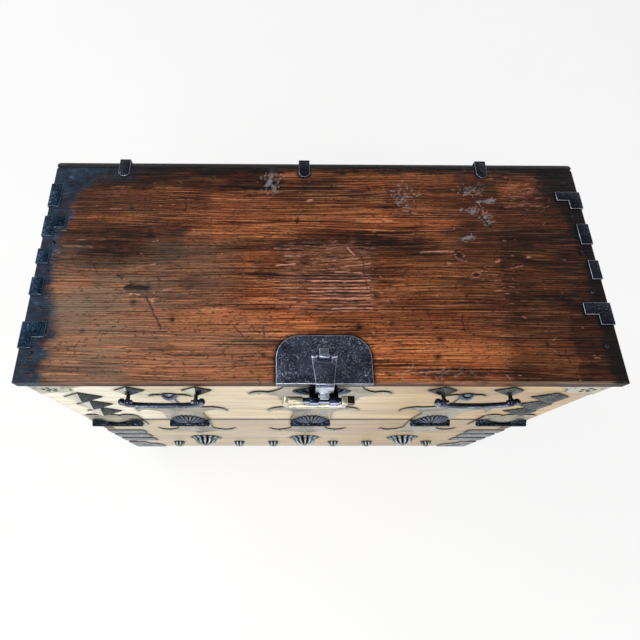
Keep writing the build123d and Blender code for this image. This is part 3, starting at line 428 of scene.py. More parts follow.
# %% [markdown]
# ## Softening the CAD edges
# Nothing hand-made has knife edges. A copy of a CAD node is welded, its flat faces joined, and its
# sharp edges rounded a little; the rounded strip is marked as worn, so that the shader can make it
# shine. Where a forged outline is finer than the strip, the strip would fold over itself, so a
# narrower one is tried. The copy stands for the node, stays in its place and rides on its body.


# %% Softened copies
# an area too small to see, and the angle past which two faces lie back on each other
SPECK = 0.02 * MM * MM
FOLDED_BACK = math.radians(172)


def finish_mesh(bm, name, material, body, stands_for=(), smooth=40):
    """Turn a bmesh into a piece of the chest."""
    mesh = bpy.data.meshes.new(name)
    bm.to_mesh(mesh)
    bm.free()
    return place_mesh(mesh, name, material, body, stands_for, smooth)


def place_mesh(mesh, name, material, body, stands_for, smooth):
    """Give a mesh its object, finish, body and slot."""
    piece = bpy.data.objects.new(name, mesh)
    bpy.context.scene.collection.objects.link(piece)
    mesh.materials.append(material)
    mesh.polygons.foreach_set("use_smooth", [True] * len(mesh.polygons))
    mesh.set_sharp_from_angle(angle=math.radians(smooth))
    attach(piece, body)
    if stands_for:
        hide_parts(*stands_for)
    return piece


def welded(source):
    """A CAD node's mesh with its seams closed and its flat faces whole."""
    bm = bmesh.new()
    bm.from_mesh(nodes[source].data)
    bmesh.ops.remove_doubles(bm, verts=bm.verts, dist=0.01 * MM)
    bmesh.ops.dissolve_limit(bm, angle_limit=math.radians(0.5), verts=bm.verts, edges=bm.edges)
    return bm


def folded(bm):
    """How many faces cross themselves or lie folded back on a neighbour."""
    bm.normal_update()
    bm.faces.index_update()
    cut_up = np.zeros(len(bm.faces))
    for loops in bm.calc_loop_triangles():
        a, b, c = (loop.vert.co for loop in loops)
        cut_up[loops[0].face.index] += (b - a).cross(c - a).length / 2
    areas = np.array([f.calc_area() for f in bm.faces])
    crossed = int((cut_up - areas > SPECK + 0.001 * areas).sum())
    back = [e for e in bm.edges if len(e.link_faces) == 2
            and e.calc_face_angle(0) > FOLDED_BACK
            and min(areas[f.index] for f in e.link_faces) > SPECK]
    return crossed + len(back)


def rounded(bm, width, angle=35, least=0.15):
    """Round the sharp edges and mark the strips as worn; narrower where they would fold."""
    own = folded(bm)
    for share in [part for part in (1.0, 0.8, 0.6, 0.4, 0.25, 0.15) if part >= least]:
        trial = bm.copy()
        mask = trial.faces.layers.float.new("worn")
        sharp = [e for e in trial.edges if len(e.link_faces) == 2
                 and e.calc_face_angle(0) > math.radians(angle)]
        made = bmesh.ops.bevel(trial, geom=sharp, offset=width * share, offset_type="OFFSET",
                               segments=2, profile=0.5, affect="EDGES", clamp_overlap=False)
        for face in made["faces"]:
            face[mask] = 1.0
        folds = folded(trial)
        if folds <= own:
            break
    if share < 1:
        print("  rounded", round(width * share / MM, 2), "mm, folds", folds, "of its own", own)
    return trial


def body_of(source):
    """The body that a CAD node rides on."""
    return nodes[source]["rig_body"]


def softened(source, name, material, width, least=0.15):
    """A softened copy that stands for one CAD node."""
    print(name)
    bm = rounded(welded(source), width, least=least)
    return finish_mesh(bm, name, material, body_of(source), [source])


print("softening ready")

# %% [markdown]
# ## Masks on the boards
# Grime gathers near iron, and shade is painted there as well, so a board's mesh needs to know how
# far each of its points is from the nearest mount. A search tree over the mounts answers that. The
# boards are cut into small cells first, so that the masks have points to sit on.


# %% Distance to iron
IRON_WORDS = ("hinge", "lock", "hasp", "strap", "plate", "posts", "escutcheon", "lozenge",
              "flower", "studs", "nails")
mounts = [n for n in nodes if any(w in n for w in IRON_WORDS) and not n.startswith("padlock")]
corners, faces = [], []
for n in mounts:
    mesh = nodes[n].data
    shift = len(corners)
    corners += [v.co.copy() for v in mesh.vertices]
    faces += [[shift + i for i in p.vertices] for p in mesh.polygons]
iron_tree = BVHTree.FromPolygons(corners, faces)


def near_iron(points, reach):
    """1 at the iron, falling to 0 at reach, for each point."""
    near = np.zeros(len(points))
    for i, p in enumerate(points):
        found = iron_tree.find_nearest(Vector(p), reach)
        if found[0] is not None:
            near[i] = (1 - found[3] / reach) ** 2
    return near


def set_mask(mesh, name, values, where="POINT"):
    """Store one number for each vertex, or for each face."""
    mask = mesh.attributes.new(name, "FLOAT", where)
    mask.data.foreach_set("value", np.asarray(values, np.float32))


print("mounts", len(mounts), "faces", len(faces))

# %% [markdown]
# ## The top board
# It is the face that one sees, so it is built as a fine net of points, 1.5 mm along the grain and
# 1.2 mm across, with a rounded rim. Real dents, gouges and knots are pushed into that net, and the
# masks are painted on it. Brushes are strokes and patches, given in millimetres from the middle
# and from the front edge; a soft random wobble keeps their edges from looking ruled.

# %% A net with a wobble
HALF = TOP[1].x
DEPTH = TOP[1].y - TOP[0].y
RIM = 2.2 * MM
along = np.linspace(-HALF + RIM, HALF - RIM, 601) / MM
deep = np.linspace(RIM, DEPTH - RIM, 319) / MM


def cloud(wide, tall, seed):
    """Soft random blots of a size in millimetres, -1 to 1, over the net."""
    cells = np.random.default_rng(seed).uniform(-1, 1, (int(DEPTH / MM / tall) + 3,
                                                        int(2 * HALF / MM / wide) + 3))
    u = (along + HALF / MM) / wide
    v = deep / tall
    i, j = u.astype(int), v.astype(int)
    fu, fv = u - i, v - j
    fu, fv = fu * fu * (3 - 2 * fu), (fv * fv * (3 - 2 * fv))[:, None]
    near = cells[j][:, i] * (1 - fu) + cells[j][:, i + 1] * fu
    far = cells[j + 1][:, i] * (1 - fu) + cells[j + 1][:, i + 1] * fu
    return near * (1 - fv) + far * fv


# millimetres of wobble, in large blots and in small ones; ragged is a share of a brush's strength
wobble_x = 5 * cloud(20, 9, 1) + 1.2 * cloud(6, 4, 2)
wobble_y = 3 * cloud(26, 12, 3) + 1.3 * cloud(7, 4, 4)
ragged = 0.6 * cloud(14, 4, 5) + 0.4 * cloud(5, 2.5, 6)
MASKS = {name: np.zeros((len(deep), len(along)))
         for name in ("grime", "shade", "bare", "haze", "glow", "slit", "scuff", "dent")}
EVERYWHERE = (slice(None), slice(None))
print("top net", MASKS["dent"].shape)


# %% Brushes
def window(low, high, reach):
    """The part of the net that a brush can touch."""
    i = np.searchsorted(along, (low[0] - reach, high[0] + reach))
    j = np.searchsorted(deep, (low[1] - reach, high[1] + reach))
    return slice(*j), slice(*i)


def lay(name, part, brush, amount):
    """Lay a brush on a mask, never over 1."""
    mask = MASKS[name][part]
    np.maximum(mask, np.minimum(brush * amount, 1), out=mask)


def stroke(name, run, wide=1.5, amount=1.0, soft=1.6, wander=0.3):
    """A line through points, fading over soft millimetres."""
    line = np.array(run, float)
    part = window(line.min(0), line.max(0), wide / 2 + soft + 3)
    x = along[None, part[1]] + wander * wobble_x[part]
    y = deep[part[0], None] + wander * wobble_y[part]
    best = np.full(x.shape, 1e9)
    for a, b in zip(line[:-1], line[1:]):
        run_x, run_y = b - a
        span = max(run_x ** 2 + run_y ** 2, 1e-6)
        t = np.clip(((x - a[0]) * run_x + (y - a[1]) * run_y) / span, 0, 1)
        best = np.minimum(best, np.hypot(x - a[0] - t * run_x, y - a[1] - t * run_y))
    lay(name, part, np.clip(1 - (best - wide / 2) / soft, 0, 1), amount)


def patch(name, x0, x1, y0, y1, soft=12.0, amount=1.0, rough=0.5):
    """A blot over a rectangle, fading and ragged at its border."""
    part = window((x0, y0), (x1, y1), soft * 1.6 + 4)
    x = along[None, part[1]] + 1.5 * wobble_x[part]
    y = deep[part[0], None] + 1.5 * wobble_y[part]
    off_x = np.maximum(np.maximum(x0 - x, x - x1), 0)
    off_y = np.maximum(np.maximum(y0 - y, y - y1), 0)
    fade = np.clip(1 - np.hypot(off_x, off_y) / soft + rough * ragged[part] * 0.6, 0, 1)
    lay(name, part, fade * fade * (3 - 2 * fade), amount)


def spot(name, x, y, size, amount=1.0, soft=None):
    """A round blot."""
    stroke(name, [(x, y), (x + 0.1, y)], size, amount, soft or size * 0.6, 0.6)


print("brushes ready")

# %% [markdown]
# ## Painting a century of use
# Each mark has its own mask. Grime is black dirt that stays where no cloth reaches, and beside the
# iron it is painted shade as well; shade is wood soaked dark, and on the board's sides below the
# rim it is painted shadow; glow is wood rubbed warm; the sheen is painted light reflected by the
# wax, and a painted highlight along the front edge. Slits and dents are cuts, bare is the pink
# wood under the stain, and scuffs are chalky scrapes. Broad patches come first and single marks
# last, because a mark never covers a stronger one of its own kind. Marks too many to place one by
# one come from seeded random numbers, so that each run draws the same ones.

# %% Grime at the ends and along the back, and grime with painted shade beside the iron
GRIME_AND_SHADE_REACH = 11 * MM
flat_x, flat_y = np.meshgrid(along, deep)
points = np.column_stack([flat_x.ravel() * MM, flat_y.ravel() * MM + Y_EDGE,
                          np.full(flat_x.size, Z_TOP)])
near = near_iron(points, GRIME_AND_SHADE_REACH).reshape(flat_x.shape)
# beside the iron the darkening is grime and painted shade
lay("grime", EVERYWHERE, near, 1.25)
left_edge = [(-410, 0), (-410, 58), (-401, 74), (-409, 106), (-420, 140), (-425, 208), (-420, 268),
             (-404, 277), (-405, 295), (-412, 306), (-408, 330), (-388, 352), (-350, 392)]
right_edge = [(428, 0), (422, 40), (428, 80), (420, 110), (428, 150), (424, 240), (414, 300),
              (400, 330), (396, 386)]
for side, edge, marks in (
        (-1, left_edge, (("grime", 17, 0.62, 0.98), ("shade", 50, 0.9, 0.4))),
        (1, right_edge, (("grime", 14, 0.5, 0.93), ("shade", 60, 1.0, 0.92)))):
    line = np.interp(deep, [p[1] for p in edge], [p[0] for p in edge])[:, None]
    gap = side * (flat_x - line) + 0.9 * wobble_x + 3 * ragged
    for name, reach, at_edge, amount in marks:
        lay(name, EVERYWHERE, np.clip(gap / reach + at_edge, 0, 1), amount)
for x0, x1, y0, y1, soft, amount in (
        (-450, 450, 380, 390, 12, 0.8), (-430, -315, 366, 390, 20, 0.7),
        (392, 450, 340, 390, 22, 0.8), (-12, 30, 350, 386, 20, 0.45),
        (250, 310, 345, 386, 16, 0.55)):
    patch("grime", x0, x1, y0, y1, soft, amount)
print("grime covers", round(float(MASKS["grime"].mean()), 3))

# %% Dark bands and stains
for x0, x1, y0, y1, soft, amount in (
        (-430, 450, 150, 390, 50, 0.26), (200, 450, 20, 390, 70, 0.30),
        (-409, -225, 218, 255, 24, 0.94), (-420, -235, 196, 268, 20, 0.74),
        (-300, -20, 214, 240, 16, 0.62), (-60, 190, 212, 240, 28, 0.80),
        (60, 175, 212, 238, 12, 0.88), (-262, -192, 154, 168, 9, 0.6),
        (-410, -240, 176, 206, 14, 0.45), (0, 76, 78, 100, 12, 0.3),
        (300, 415, 140, 240, 36, 0.92), (300, 400, 100, 150, 30, 0.72),
        (230, 420, 140, 214, 30, 0.66), (-440, -70, 348, 388, 24, 0.94),
        (-400, -190, 300, 350, 30, 0.58), (250, 430, 215, 300, 40, 0.72),
        (150, 300, 296, 350, 30, 0.56), (310, 430, 240, 300, 30, 0.9),
        (-60, 90, 296, 350, 50, 0.36), (239, 305, 119, 170, 10, 0.5),
        (-350, -300, 18, 34, 10, 0.5), (-298, -266, 144, 162, 6, 0.9),
        (200, 310, 306, 350, 26, 0.76), (-95, 90, 176, 232, 26, 0.62),
        (-20, 90, 118, 176, 20, 0.4), (290, 440, 10, 100, 30, 0.68),
        (-280, -120, 150, 214, 40, 0.44), (-250, -190, 268, 300, 20, 0.3),
        (385, 440, 10, 345, 20, 0.90), (320, 440, 300, 390, 24, 0.62),
        (90, 260, 100, 206, 30, 0.46), (-130, -60, 214, 232, 20, 0.5)):
    patch("shade", x0, x1, y0, y1, soft, amount)
patch("slit", -296, -270, 150, 157, 5, 0.7)
patch("slit", 96, 168, 14, 15, 2, 0.7, 1.2)
patch("slit", 156, 236, 11, 15, 2, 0.5, 1.4)
patch("grime", 140, 242, 8, 19, 8, 0.42, 1.2)
for x, y, size in ((-290, 126, 6), (-227, 99, 6), (-32, 277, 5), (90, 139, 7), (110, 92, 5),
                   (-274, 248, 9), (-114, 328, 4), (118, 236, 9), (-310, 301, 6), (-5, 66, 7),
                   (60, 88, 8), (-140, 275, 4), (172, 40, 7), (180, 68, 6), (-86, 42, 5),
                   (45, 76, 6), (390, 130, 6), (340, 60, 5), (-360, 80, 5)):
    spot("grime", x, y, size * 0.5, 0.8, size)
print("shade covers", round(float(MASKS["shade"].mean()), 3))

# %% Painted sheen of light on the wax, and the warmer worn parts
# the grey sheen over the left end is a painted reflection of the window light on the wax
for x0, x1, y0, y1, soft, amount in (
        (-425, -400, 160, 215, 40, 0.25), (-400, -310, 20, 150, 60, 0.60),
        (-415, -360, 90, 132, 40, 0.72), (-400, -250, 60, 160, 60, 0.42),
        (-340, -120, 8, 60, 90, 0.32), (-250, -170, 60, 200, 70, 0.24)):
    patch("haze", x0, x1, y0, y1, soft, amount)
FRONT_ROW = (slice(0, 1), slice(None))
# a painted highlight along the front edge of the top
lay("haze", FRONT_ROW, np.clip(0.75 + 0.4 * cloud(30, 4, 31), 0, 1)[:1], 0.7)
for x0, x1, y0, y1, soft, amount in (
        (-170, 60, 246, 274, 14, 0.45), (-240, -60, 284, 330, 26, 0.22),
        (-60, 60, 246, 272, 10, 0.34), (-110, 40, 62, 116, 30, 0.22),
        (90, 210, 246, 290, 24, 0.42), (314, 380, 316, 350, 14, 0.34),
        (80, 215, 20, 108, 40, 0.50), (-300, -60, 10, 130, 60, 0.32),
        (-420, -280, 0, 60, 60, 0.36), (-150, -70, 90, 200, 30, 0.36),
        (-417, -362, 147, 176, 14, 0.75), (355, 420, 225, 285, 16, 0.2),
        (-280, -60, 120, 170, 40, 0.2), (-150, -10, 100, 150, 40, 0.6),
        (-430, -300, 8, 50, 40, 0.5), (90, 240, 8, 60, 40, 0.5), (-60, 60, 300, 340, 20, 0.1),
        (60, 300, 352, 384, 20, 0.2), (60, 140, 110, 200, 30, 0.12)):
    patch("glow", x0, x1, y0, y1, soft, amount)
print("haze", round(float(MASKS["haze"].mean()), 3), "glow",
      round(float(MASKS["glow"].mean()), 3))

# %% Scratches that lay the wood bare
patch("bare", -55, 78, 128, 160, 20, 0.26, 1.6)
patch("bare", -45, 72, 170, 225, 18, 0.22, 1.6)
for run, wide, much in (
        (((-74, 154), (-20, 153), (84, 152)), 1.0, 0.85), (((-82, 169), (42, 165)), 0.8, 0.75),
        (((-69, 192), (-37, 196)), 1.3, 0.9), (((5, 200), (84, 209)), 1.0, 0.8),
        (((36, 190), (82, 197)), 1.6, 0.85), (((26, 181), (68, 180)), 1.8, 0.85),
        (((-12, 147), (84, 149)), 0.8, 0.75), (((-20, 140), (84, 142)), 0.7, 0.7),
        (((-8, 134), (84, 135)), 0.7, 0.65), (((38, 168), (42, 152)), 2.5, 0.6),
        (((48, 225), (58, 213)), 2.0, 0.9), (((13, 224), (39, 225)), 1.0, 0.8),
        (((-412, 228), (-366, 225)), 1.4, 0.7), (((-392, 239), (-346, 240)), 0.8, 0.55),
        # the first stroke on the next line is a painted glint on the gouge's edge, in the bare
        # colour
        (((-295, 142), (-280, 141)), 1.6, 1.0), (((-244, 150), (-231, 151)), 1.2, 0.9),
        (((-302, 185), (-262, 194)), 0.9, 0.55), (((-14, 317), (-8, 318)), 4.0, 0.8),
        (((111, 281), (124, 279)), 2.0, 0.85), (((166, 219), (220, 220)), 1.0, 0.85),
        (((226, 204), (238, 203)), 2.0, 0.7), (((90, 17), (165, 15)), 0.8, 0.6),
        (((206, 198), (214, 197)), 2.0, 0.8), (((300, 187), (328, 194)), 0.8, 0.5),
        (((-58, 210), (-30, 212)), 0.9, 0.8), (((-70, 224), (-48, 223)), 0.9, 0.7),
        (((286, 200), (292, 204)), 2.0, 0.7), (((338, 210), (344, 211)), 2.0, 0.7),
        (((-30, 176), (-40, 170)), 0.9, 0.6), (((150, 340), (158, 300)), 0.8, 0.35),
        (((276, 316), (282, 290)), 0.8, 0.6), (((310, 350), (345, 340), (392, 352)), 0.9, 0.4),
        (((318, 306), (360, 312), (388, 304)), 0.9, 0.45), (((-262, 132), (-258, 128)), 2, 0.8),
        (((-346, 300), (-330, 300)), 0.6, 0.4), (((-120, 300), (-104, 306)), 0.8, 0.4)):
    stroke("bare", run, wide, much, 1.2)
chance = np.random.default_rng(7)
for y, much in ((113, 0.5), (118, 0.9), (124, 0.4), (128, 0.8), (135, 1.0), (140, 0.6), (147, 1.0),
                (153, 0.9), (158, 0.4), (165, 1.0), (171, 0.6)):
    # raised rings that a dragged load has scraped bare, with black left in the valleys
    x0, x1 = -76 + 26 * chance.random(), 80 - 8 * chance.random()
    if y < 126:
        x0 += 50
    middle = (x0 + x1) / 2
    stroke("bare", [(x0, y + 1), (middle, y)], 0.9, much * chance.uniform(0.4, 0.75), 1.1)
    stroke("bare", [(middle - 20, y), (x1, y + 1)], 2.0, much * chance.uniform(0.8, 1.0), 1.2)
    stroke("slit", [(x0, y + 3.4), (x1, y + 3.6)], 1.2, chance.uniform(0.7, 0.95), 1.1)
print("bare", round(float(MASKS["bare"].mean()), 4))

# %% Gouges, slits and knots
for run, wide, depth in (
        (((-220, 322), (-220, 295)), 1.2, 0.9), (((-272, 140), (-258, 116), (-241, 84)), 1.4, 1.2),
        (((-298, 156), (-268, 155)), 3.0, 0.9), (((-319, 175), (-312, 168)), 2.5, 0.8),
        (((-86, 86), (-86, 70)), 1.0, 0.6), (((-132, 88), (-112, 68)), 1.0, 0.6),
        (((-104, 84), (-92, 78)), 1.2, 0.5), (((87, 350), (91, 338)), 1.8, 0.8),
        (((218, 107), (218, 82)), 1.0, 0.5), (((375, 340), (388, 358)), 1.2, 0.6),
        (((284, 322), (274, 292)), 1.0, 0.5), (((275, 290), (288, 266)), 2.5, 0.7),
        (((-30, 280), (-34, 272)), 1.6, 0.5), (((-312, 176), (-288, 178)), 1.0, 0.4),
        (((-60, 236), (-22, 244)), 0.7, 0.4), (((365, 52), (368, 30)), 0.8, 0.4),
        (((-360, 196), (-352, 180)), 0.8, 0.3), (((-96, 240), (-80, 250)), 0.8, 0.3),
        (((70, 210), (74, 150)), 0.7, 0.3), (((-190, 110), (-176, 108)), 0.8, 0.3)):
    stroke("slit", run, wide * 0.7, 0.85, 1.1)
    stroke("dent", run, wide, depth, 2.2)
for x, y, size in ((230, 214, 8), (250, 178, 7)):
    # a knot: a black heart in a dent, a bare ring, soaked wood round it
    ring = np.hypot((flat_x - x + 0.5 * wobble_x) / 1.3, flat_y - y + 0.5 * wobble_y)
    for name, brush, amount in (("slit", 1 - (ring - size * 0.3) / 2, 0.85),
                                ("bare", 1 - abs(ring - size * 0.75) / 2.0, 0.6),
                                ("shade", 1 - (ring - size) / 9, 0.8),
                                ("dent", 1 - ring / size, 0.9)):
        lay(name, EVERYWHERE, np.clip(brush, 0, 1), amount)
print("dents up to", round(float(MASKS["dent"].max()), 2), "mm")

# %% Grey scuffs and the mark of a lost strap
chance = np.random.default_rng(11)


def tick(name, x, y, long, turn, wide, amount, soft):
    """One straight mark from a point, at an angle from the grain in radians."""
    end = (x + long * math.cos(turn), y + long * math.sin(turn))
    stroke(name, [(x, y), end], wide, amount, soft)


def scuff(name, x0, x1, y0, y1, count, amount=0.8, turn=0.0, spread=0.8, longest=9):
    """Many short ticks at loose angles inside a rectangle, densest in its middle."""
    for _ in range(count):
        x = (x0 + x1) / 2 + (x1 - x0) * 0.25 * chance.normal()
        y = (y0 + y1) / 2 + (y1 - y0) * 0.25 * chance.normal()
        long, angle = chance.uniform(1.5, longest), chance.normal(turn, spread)
        tick(name, x, y, long, angle, 0.3, amount * chance.uniform(0.5, 1.0), 0.9)


def strew(name, count, place, long, turn, wide, low, high, soft):
    """Ticks spread evenly over a rectangle (x0, x1, y0, y1), their strength from low to high."""
    x0, x1, y0, y1 = place
    for _ in range(count):
        x, y = chance.uniform(x0, x1), chance.uniform(y0, y1)
        length, angle = chance.uniform(*long), chance.normal(*turn)
        amount = chance.uniform(low, high) if high > low else low
        tick(name, x, y, length, angle, wide, amount, soft)


for x0, x1, y0, y1, count in ((237, 290, 328, 352, 50), (248, 276, 291, 304, 26),
                              (272, 290, 266, 296, 22), (287, 303, 312, 323, 16),
                              (238, 258, 241, 251, 16), (120, 165, 296, 350, 40)):
    patch("shade", x0, x1, y0, y1, 12, 0.62)
    scuff("scuff", x0, x1, y0, y1, count, 0.75, 0.5)
for marks in (
        ("bare", 312, 392, 308, 356, 44, 0.6, 0.2, 0.5, 26),
        ("slit", 312, 392, 308, 356, 40, 0.7, 0.2, 0.5, 20),
        ("bare", -40, 78, 172, 226, 60, 0.8, 0.1, 0.5, 12),
        ("slit", -60, 90, 120, 230, 90, 0.8, 0.0, 0.3, 22),
        ("bare", -60, 78, 126, 166, 40, 0.8, 0.0, 0.3, 14),
        ("bare", 236, 320, 118, 205, 50, 0.6, 0.0, 0.4, 9),
        ("scuff", -100, -56, 336, 392, 46, 0.6, 1.2, 0.5, 7), ("bare", -300, -258, 126, 150, 18),
        ("scuff", 100, 240, 8, 22, 50, 0.5, 0.2),
        ("slit", -440, 440, 0, 390, 900, 0.85, 0.0, 0.25, 12),
        ("scuff", -20, 320, 380, 390, 60, 0.5, 0.1, 0.5, 6)):
    scuff(*marks)
for run, wide in ((((-75, 388), (-77, 366)), 3.0), (((-80, 358), (-86, 352)), 4.0),
                  (((-76, 348), (-74, 339)), 3.0), (((240, 244), (255, 249)), 2.0),
                  (((276, 316), (301, 320)), 1.4)):
    stroke("scuff", run, wide, 0.45, 3.0, 0.9)
    stroke("shade", run, wide + 5, 0.6, 4.0, 0.9)
FIELD = (-430, 430, 4, 380)
strew("slit", 2200, FIELD, (1, 6), (0.2, 0.7), 0.5, 0.3, 0.9, 1.1)
strew("bare", 150, FIELD, (0.5, 6), (0.0, 0.5), 0.4, 0.3, 0.8, 1.0)
strew("scuff", 70, (-449, -418, 10, 384), (2, 12), (0.2, 0.4), 0.4, 0.5, 0.5, 1.0)
print("marks", {k: round(float(v.mean()), 3) for k, v in MASKS.items()})

# %% [markdown]
# ## Building the board from its net
# The net becomes the upper face. Loops of points round it roll over the rim and go straight down,
# and one face closes the underside. The real board's back corners are rounded, so the net's
# points there are drawn onto a circle. A slab with a displacement modifier would do too, but its
# sides and underside would be cut as finely as its top, for nothing.


# %% Build the top board
def board_mesh(name, lift, rim, corner, low_z, high_z, shift_y):
    """A slab from the net, and the numbers of the net's points along its border."""
    rows, cols = len(deep), len(along)
    x, y = flat_x * MM, flat_y * MM
    # push the points of each back corner onto a circle
    edge_x, edge_y = HALF - rim, DEPTH - rim
    u = np.clip((np.abs(x) - (edge_x - corner)) / corner, 0, 1)
    v = np.clip((y - (edge_y - corner)) / corner, 0, 1)
    in_corner = (u > 0) & (v > 0)
    pull = np.where(in_corner, np.maximum(u, v) / np.maximum(np.hypot(u, v), 1e-9), 1)
    x = np.where(in_corner, np.sign(x) * (edge_x - corner + u * pull * corner), x)
    y = np.where(in_corner, edge_y - corner + v * pull * corner, y)
    points = [np.column_stack([x.ravel(), y.ravel() + shift_y, high_z - lift.ravel()])]
    edge = ([(0, c) for c in range(cols)] + [(r, cols - 1) for r in range(1, rows)]
            + [(rows - 1, c) for c in range(cols - 2, -1, -1)]
            + [(r, 0) for r in range(rows - 2, 0, -1)])
    ring = np.array([r * cols + c for r, c in edge])
    rim_points = points[0][ring]
    tangent = np.roll(rim_points, -1, 0) - np.roll(rim_points, 1, 0)
    out = np.column_stack([tangent[:, 1], -tangent[:, 0]])
    out /= np.linalg.norm(out, axis=1)[:, None]
    for r, c in ((0, 0), (0, cols - 1)):
        at = edge.index((r, c))
        out[at] = (np.sign(c - 1), -1)
    quads = [(r * cols + c, r * cols + c + 1, (r + 1) * cols + c + 1, (r + 1) * cols + c)
             for r in range(rows - 1) for c in range(cols - 1)]
    steps = [(math.sin(t), 1 - math.cos(t)) for t in np.radians((30, 60, 90))]
    levels = [(s * rim, high_z - d * rim) for s, d in steps]
    levels += [(rim, high_z - rim - 3 * MM), (rim, low_z)]
    last = ring
    count = len(points[0])
    for push, level in levels:
        loop = rim_points.copy()
        loop[:, :2] += out * push
        loop[:, 2] = level
        points.append(loop)
        here = np.arange(count, count + len(ring))
        count += len(ring)
        quads += [(a, b, c, d) for a, b, c, d in zip(last, here, np.roll(here, -1),
                                                     np.roll(last, -1))]
        last = here
    quads.append(tuple(last[::-1]))
    mesh = bpy.data.meshes.new(name)
    mesh.from_pydata(np.concatenate(points).tolist(), [], [[int(i) for i in q] for q in quads])
    return mesh, ring


CORNER = 3 * MM
# how far the painted sheen and the soaked wood go on over the five loops of the rim, from the
# top down
RIM_FADE = {"haze": (1, 1, 0.8, 0, 0), "shade": (1, 1, 0.9, 0, 0)}
swell = 0.10 * cloud(120, 30, 21) + 0.05 * cloud(60, 3.2, 22)
lift = (MASKS["dent"] * 0.8 + 0.15 - swell * 0.9) * MM
mesh, ring = board_mesh("worn_top_board", lift, RIM, CORNER, TOP[0].z, Z_TOP, Y_EDGE)
for name, mask in MASKS.items():
    if name != "dent":
        values = mask.ravel()
        loops = [values[ring] * fade for fade in RIM_FADE.get(name, (1, 1, 1, 1, 1))]
        # below the rim's roll, the board's sides are painted dark as the shadow under its edge
        if name == "shade":
            loops[3:] = [np.full(len(ring), 0.8)] * 2
        set_mask(mesh, name, np.concatenate([values, *loops]))
place_mesh(mesh, "worn_top_board", pine_top, "case", ["top_board"], 50)
print("top board", len(mesh.vertices), "points")

# %% [markdown]
# ## The other boards
# The front, sides, back and stand keep the part's own shape, with softened edges. Cutting them
# into cells of a few millimetres gives the grime and the painted shade near the iron their points.
# The left of the front is painted pale, as a reflection of the light on its wax.


# %% Front, sides, back and stand
def cut_into_cells(bm, steps):
    """Slice a mesh by evenly spaced planes along the axes with a step."""
    points = np.array([v.co[:] for v in bm.verts])
    for axis, step in steps.items():
        normal = Vector([float(i == axis) for i in range(3)])
        low, high = points[:, axis].min(), points[:, axis].max()
        for at in np.arange(low + step, high - step / 2, step):
            geometry = bm.verts[:] + bm.edges[:] + bm.faces[:]
            bmesh.ops.bisect_plane(bm, geom=geometry, dist=1e-6, plane_co=normal * at,
                                   plane_no=normal)


def grimy_shaded_board(source, name, material, steps, reach, extra=None, shape=None):
    """A softened board with grime and painted shade beside the iron, and more where extra gives
    it.
    """
    bm = welded(source)
    if shape:
        shape(bm)
    bm = rounded(bm, 0.9 * MM)
    cut_into_cells(bm, steps)
    piece = finish_mesh(bm, name, material, body_of(source), [source], 35)
    points = np.array([v.co[:] for v in piece.data.vertices])
    soil_and_shade = near_iron(points, reach)
    if extra:
        soil_and_shade = np.maximum(soil_and_shade, extra(points))
    set_mask(piece.data, "grime", soil_and_shade)
    return piece, points


def seam_shadow(points):
    """Painted shadow along the seam where the flap meets the fixed front."""
    return 0.97 * np.clip(2.3 - np.abs(points[:, 2] - Z_SEAM) / (4 * MM), 0, 1)


def widened_strip(bm):
    """Carry the back board's top strip out to the ends of the top board, corners rounded."""
    under = Z_TOP - 20 * MM
    bmesh.ops.bisect_plane(bm, geom=bm.verts[:] + bm.edges[:] + bm.faces[:], dist=1e-6,
                           plane_co=(0, 0, under), plane_no=(0, 0, 1))
    end = max(v.co.x for v in bm.verts)
    for vert in bm.verts:
        if vert.co.z > under + 1 * MM and abs(vert.co.x) > end - 0.1 * MM:
            vert.co.x = math.copysign(HALF, vert.co.x)
    corner = [e for e in bm.edges if all(abs(v.co.x) > HALF - 1 * MM for v in e.verts)
              and all(v.co.y > BACK - 1 * MM for v in e.verts)]
    bmesh.ops.bevel(bm, geom=corner, offset=11 * MM, offset_type="OFFSET", segments=5,
                    profile=0.5, affect="EDGES")


def top_strip_grime(points):
    """Dark on the upper edge, where hands and soot reach."""
    return 1.5 * np.clip((points[:, 2] - (Z_TOP - 12 * MM)) / (8 * MM), 0, 1)


Z_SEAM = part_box("flap_board")[0].z
FRONT_CELLS = {0: 6 * MM, 2: 4 * MM}
FRONT_GRIME_AND_SHADE = 7 * MM
piece, points = grimy_shaded_board("flap_board", "drop_front_board", pine_front,
                            FRONT_CELLS, FRONT_GRIME_AND_SHADE, seam_shadow)
# the left of the drop front is painted pale: a painted reflection of the light on the wax
front_sheen = np.interp(points[:, 0] / MM, (-440, -438, -330, -250, 60, 160),
                     (0.25, 1.0, 0.9, 0.42, 0.30, 0.0))
set_mask(piece.data, "haze", front_sheen)
piece, points = grimy_shaded_board("lower_front_board", "fixed_front_board", pine_front,
                            FRONT_CELLS, FRONT_GRIME_AND_SHADE, seam_shadow)
# the same painted pale reflection, weaker, on the left of the fixed front
set_mask(piece.data, "haze", 0.8 * np.interp(points[:, 0] / MM, (-420, 60, 160), (0.4, 0.3, 0.0)))
set_mask(piece.data, "shade", np.interp(points[:, 0] / MM, (-420, 420), (0.34, 0.22)))
for source in ("side_board_left", "side_board_right"):
    grimy_shaded_board(source, f"worn_{source}", pine_side, {1: 12 * MM, 2: 12 * MM},
                16 * MM)
grimy_shaded_board("back_board_upper", "worn_back_board_upper", pine_case,
            {0: 15 * MM, 2: 8 * MM}, 14 * MM, top_strip_grime, widened_strip)
for source in ("back_board_lower", "bottom_board", "stand_rail_front", "stand_rail_back",
               "stand_foot_left", "stand_foot_right"):
    finish = pine_side if "foot" in source else pine_case
    grimy_shaded_board(source, f"worn_{source}", finish, {0: 30 * MM}, 14 * MM)
print("boards dressed")

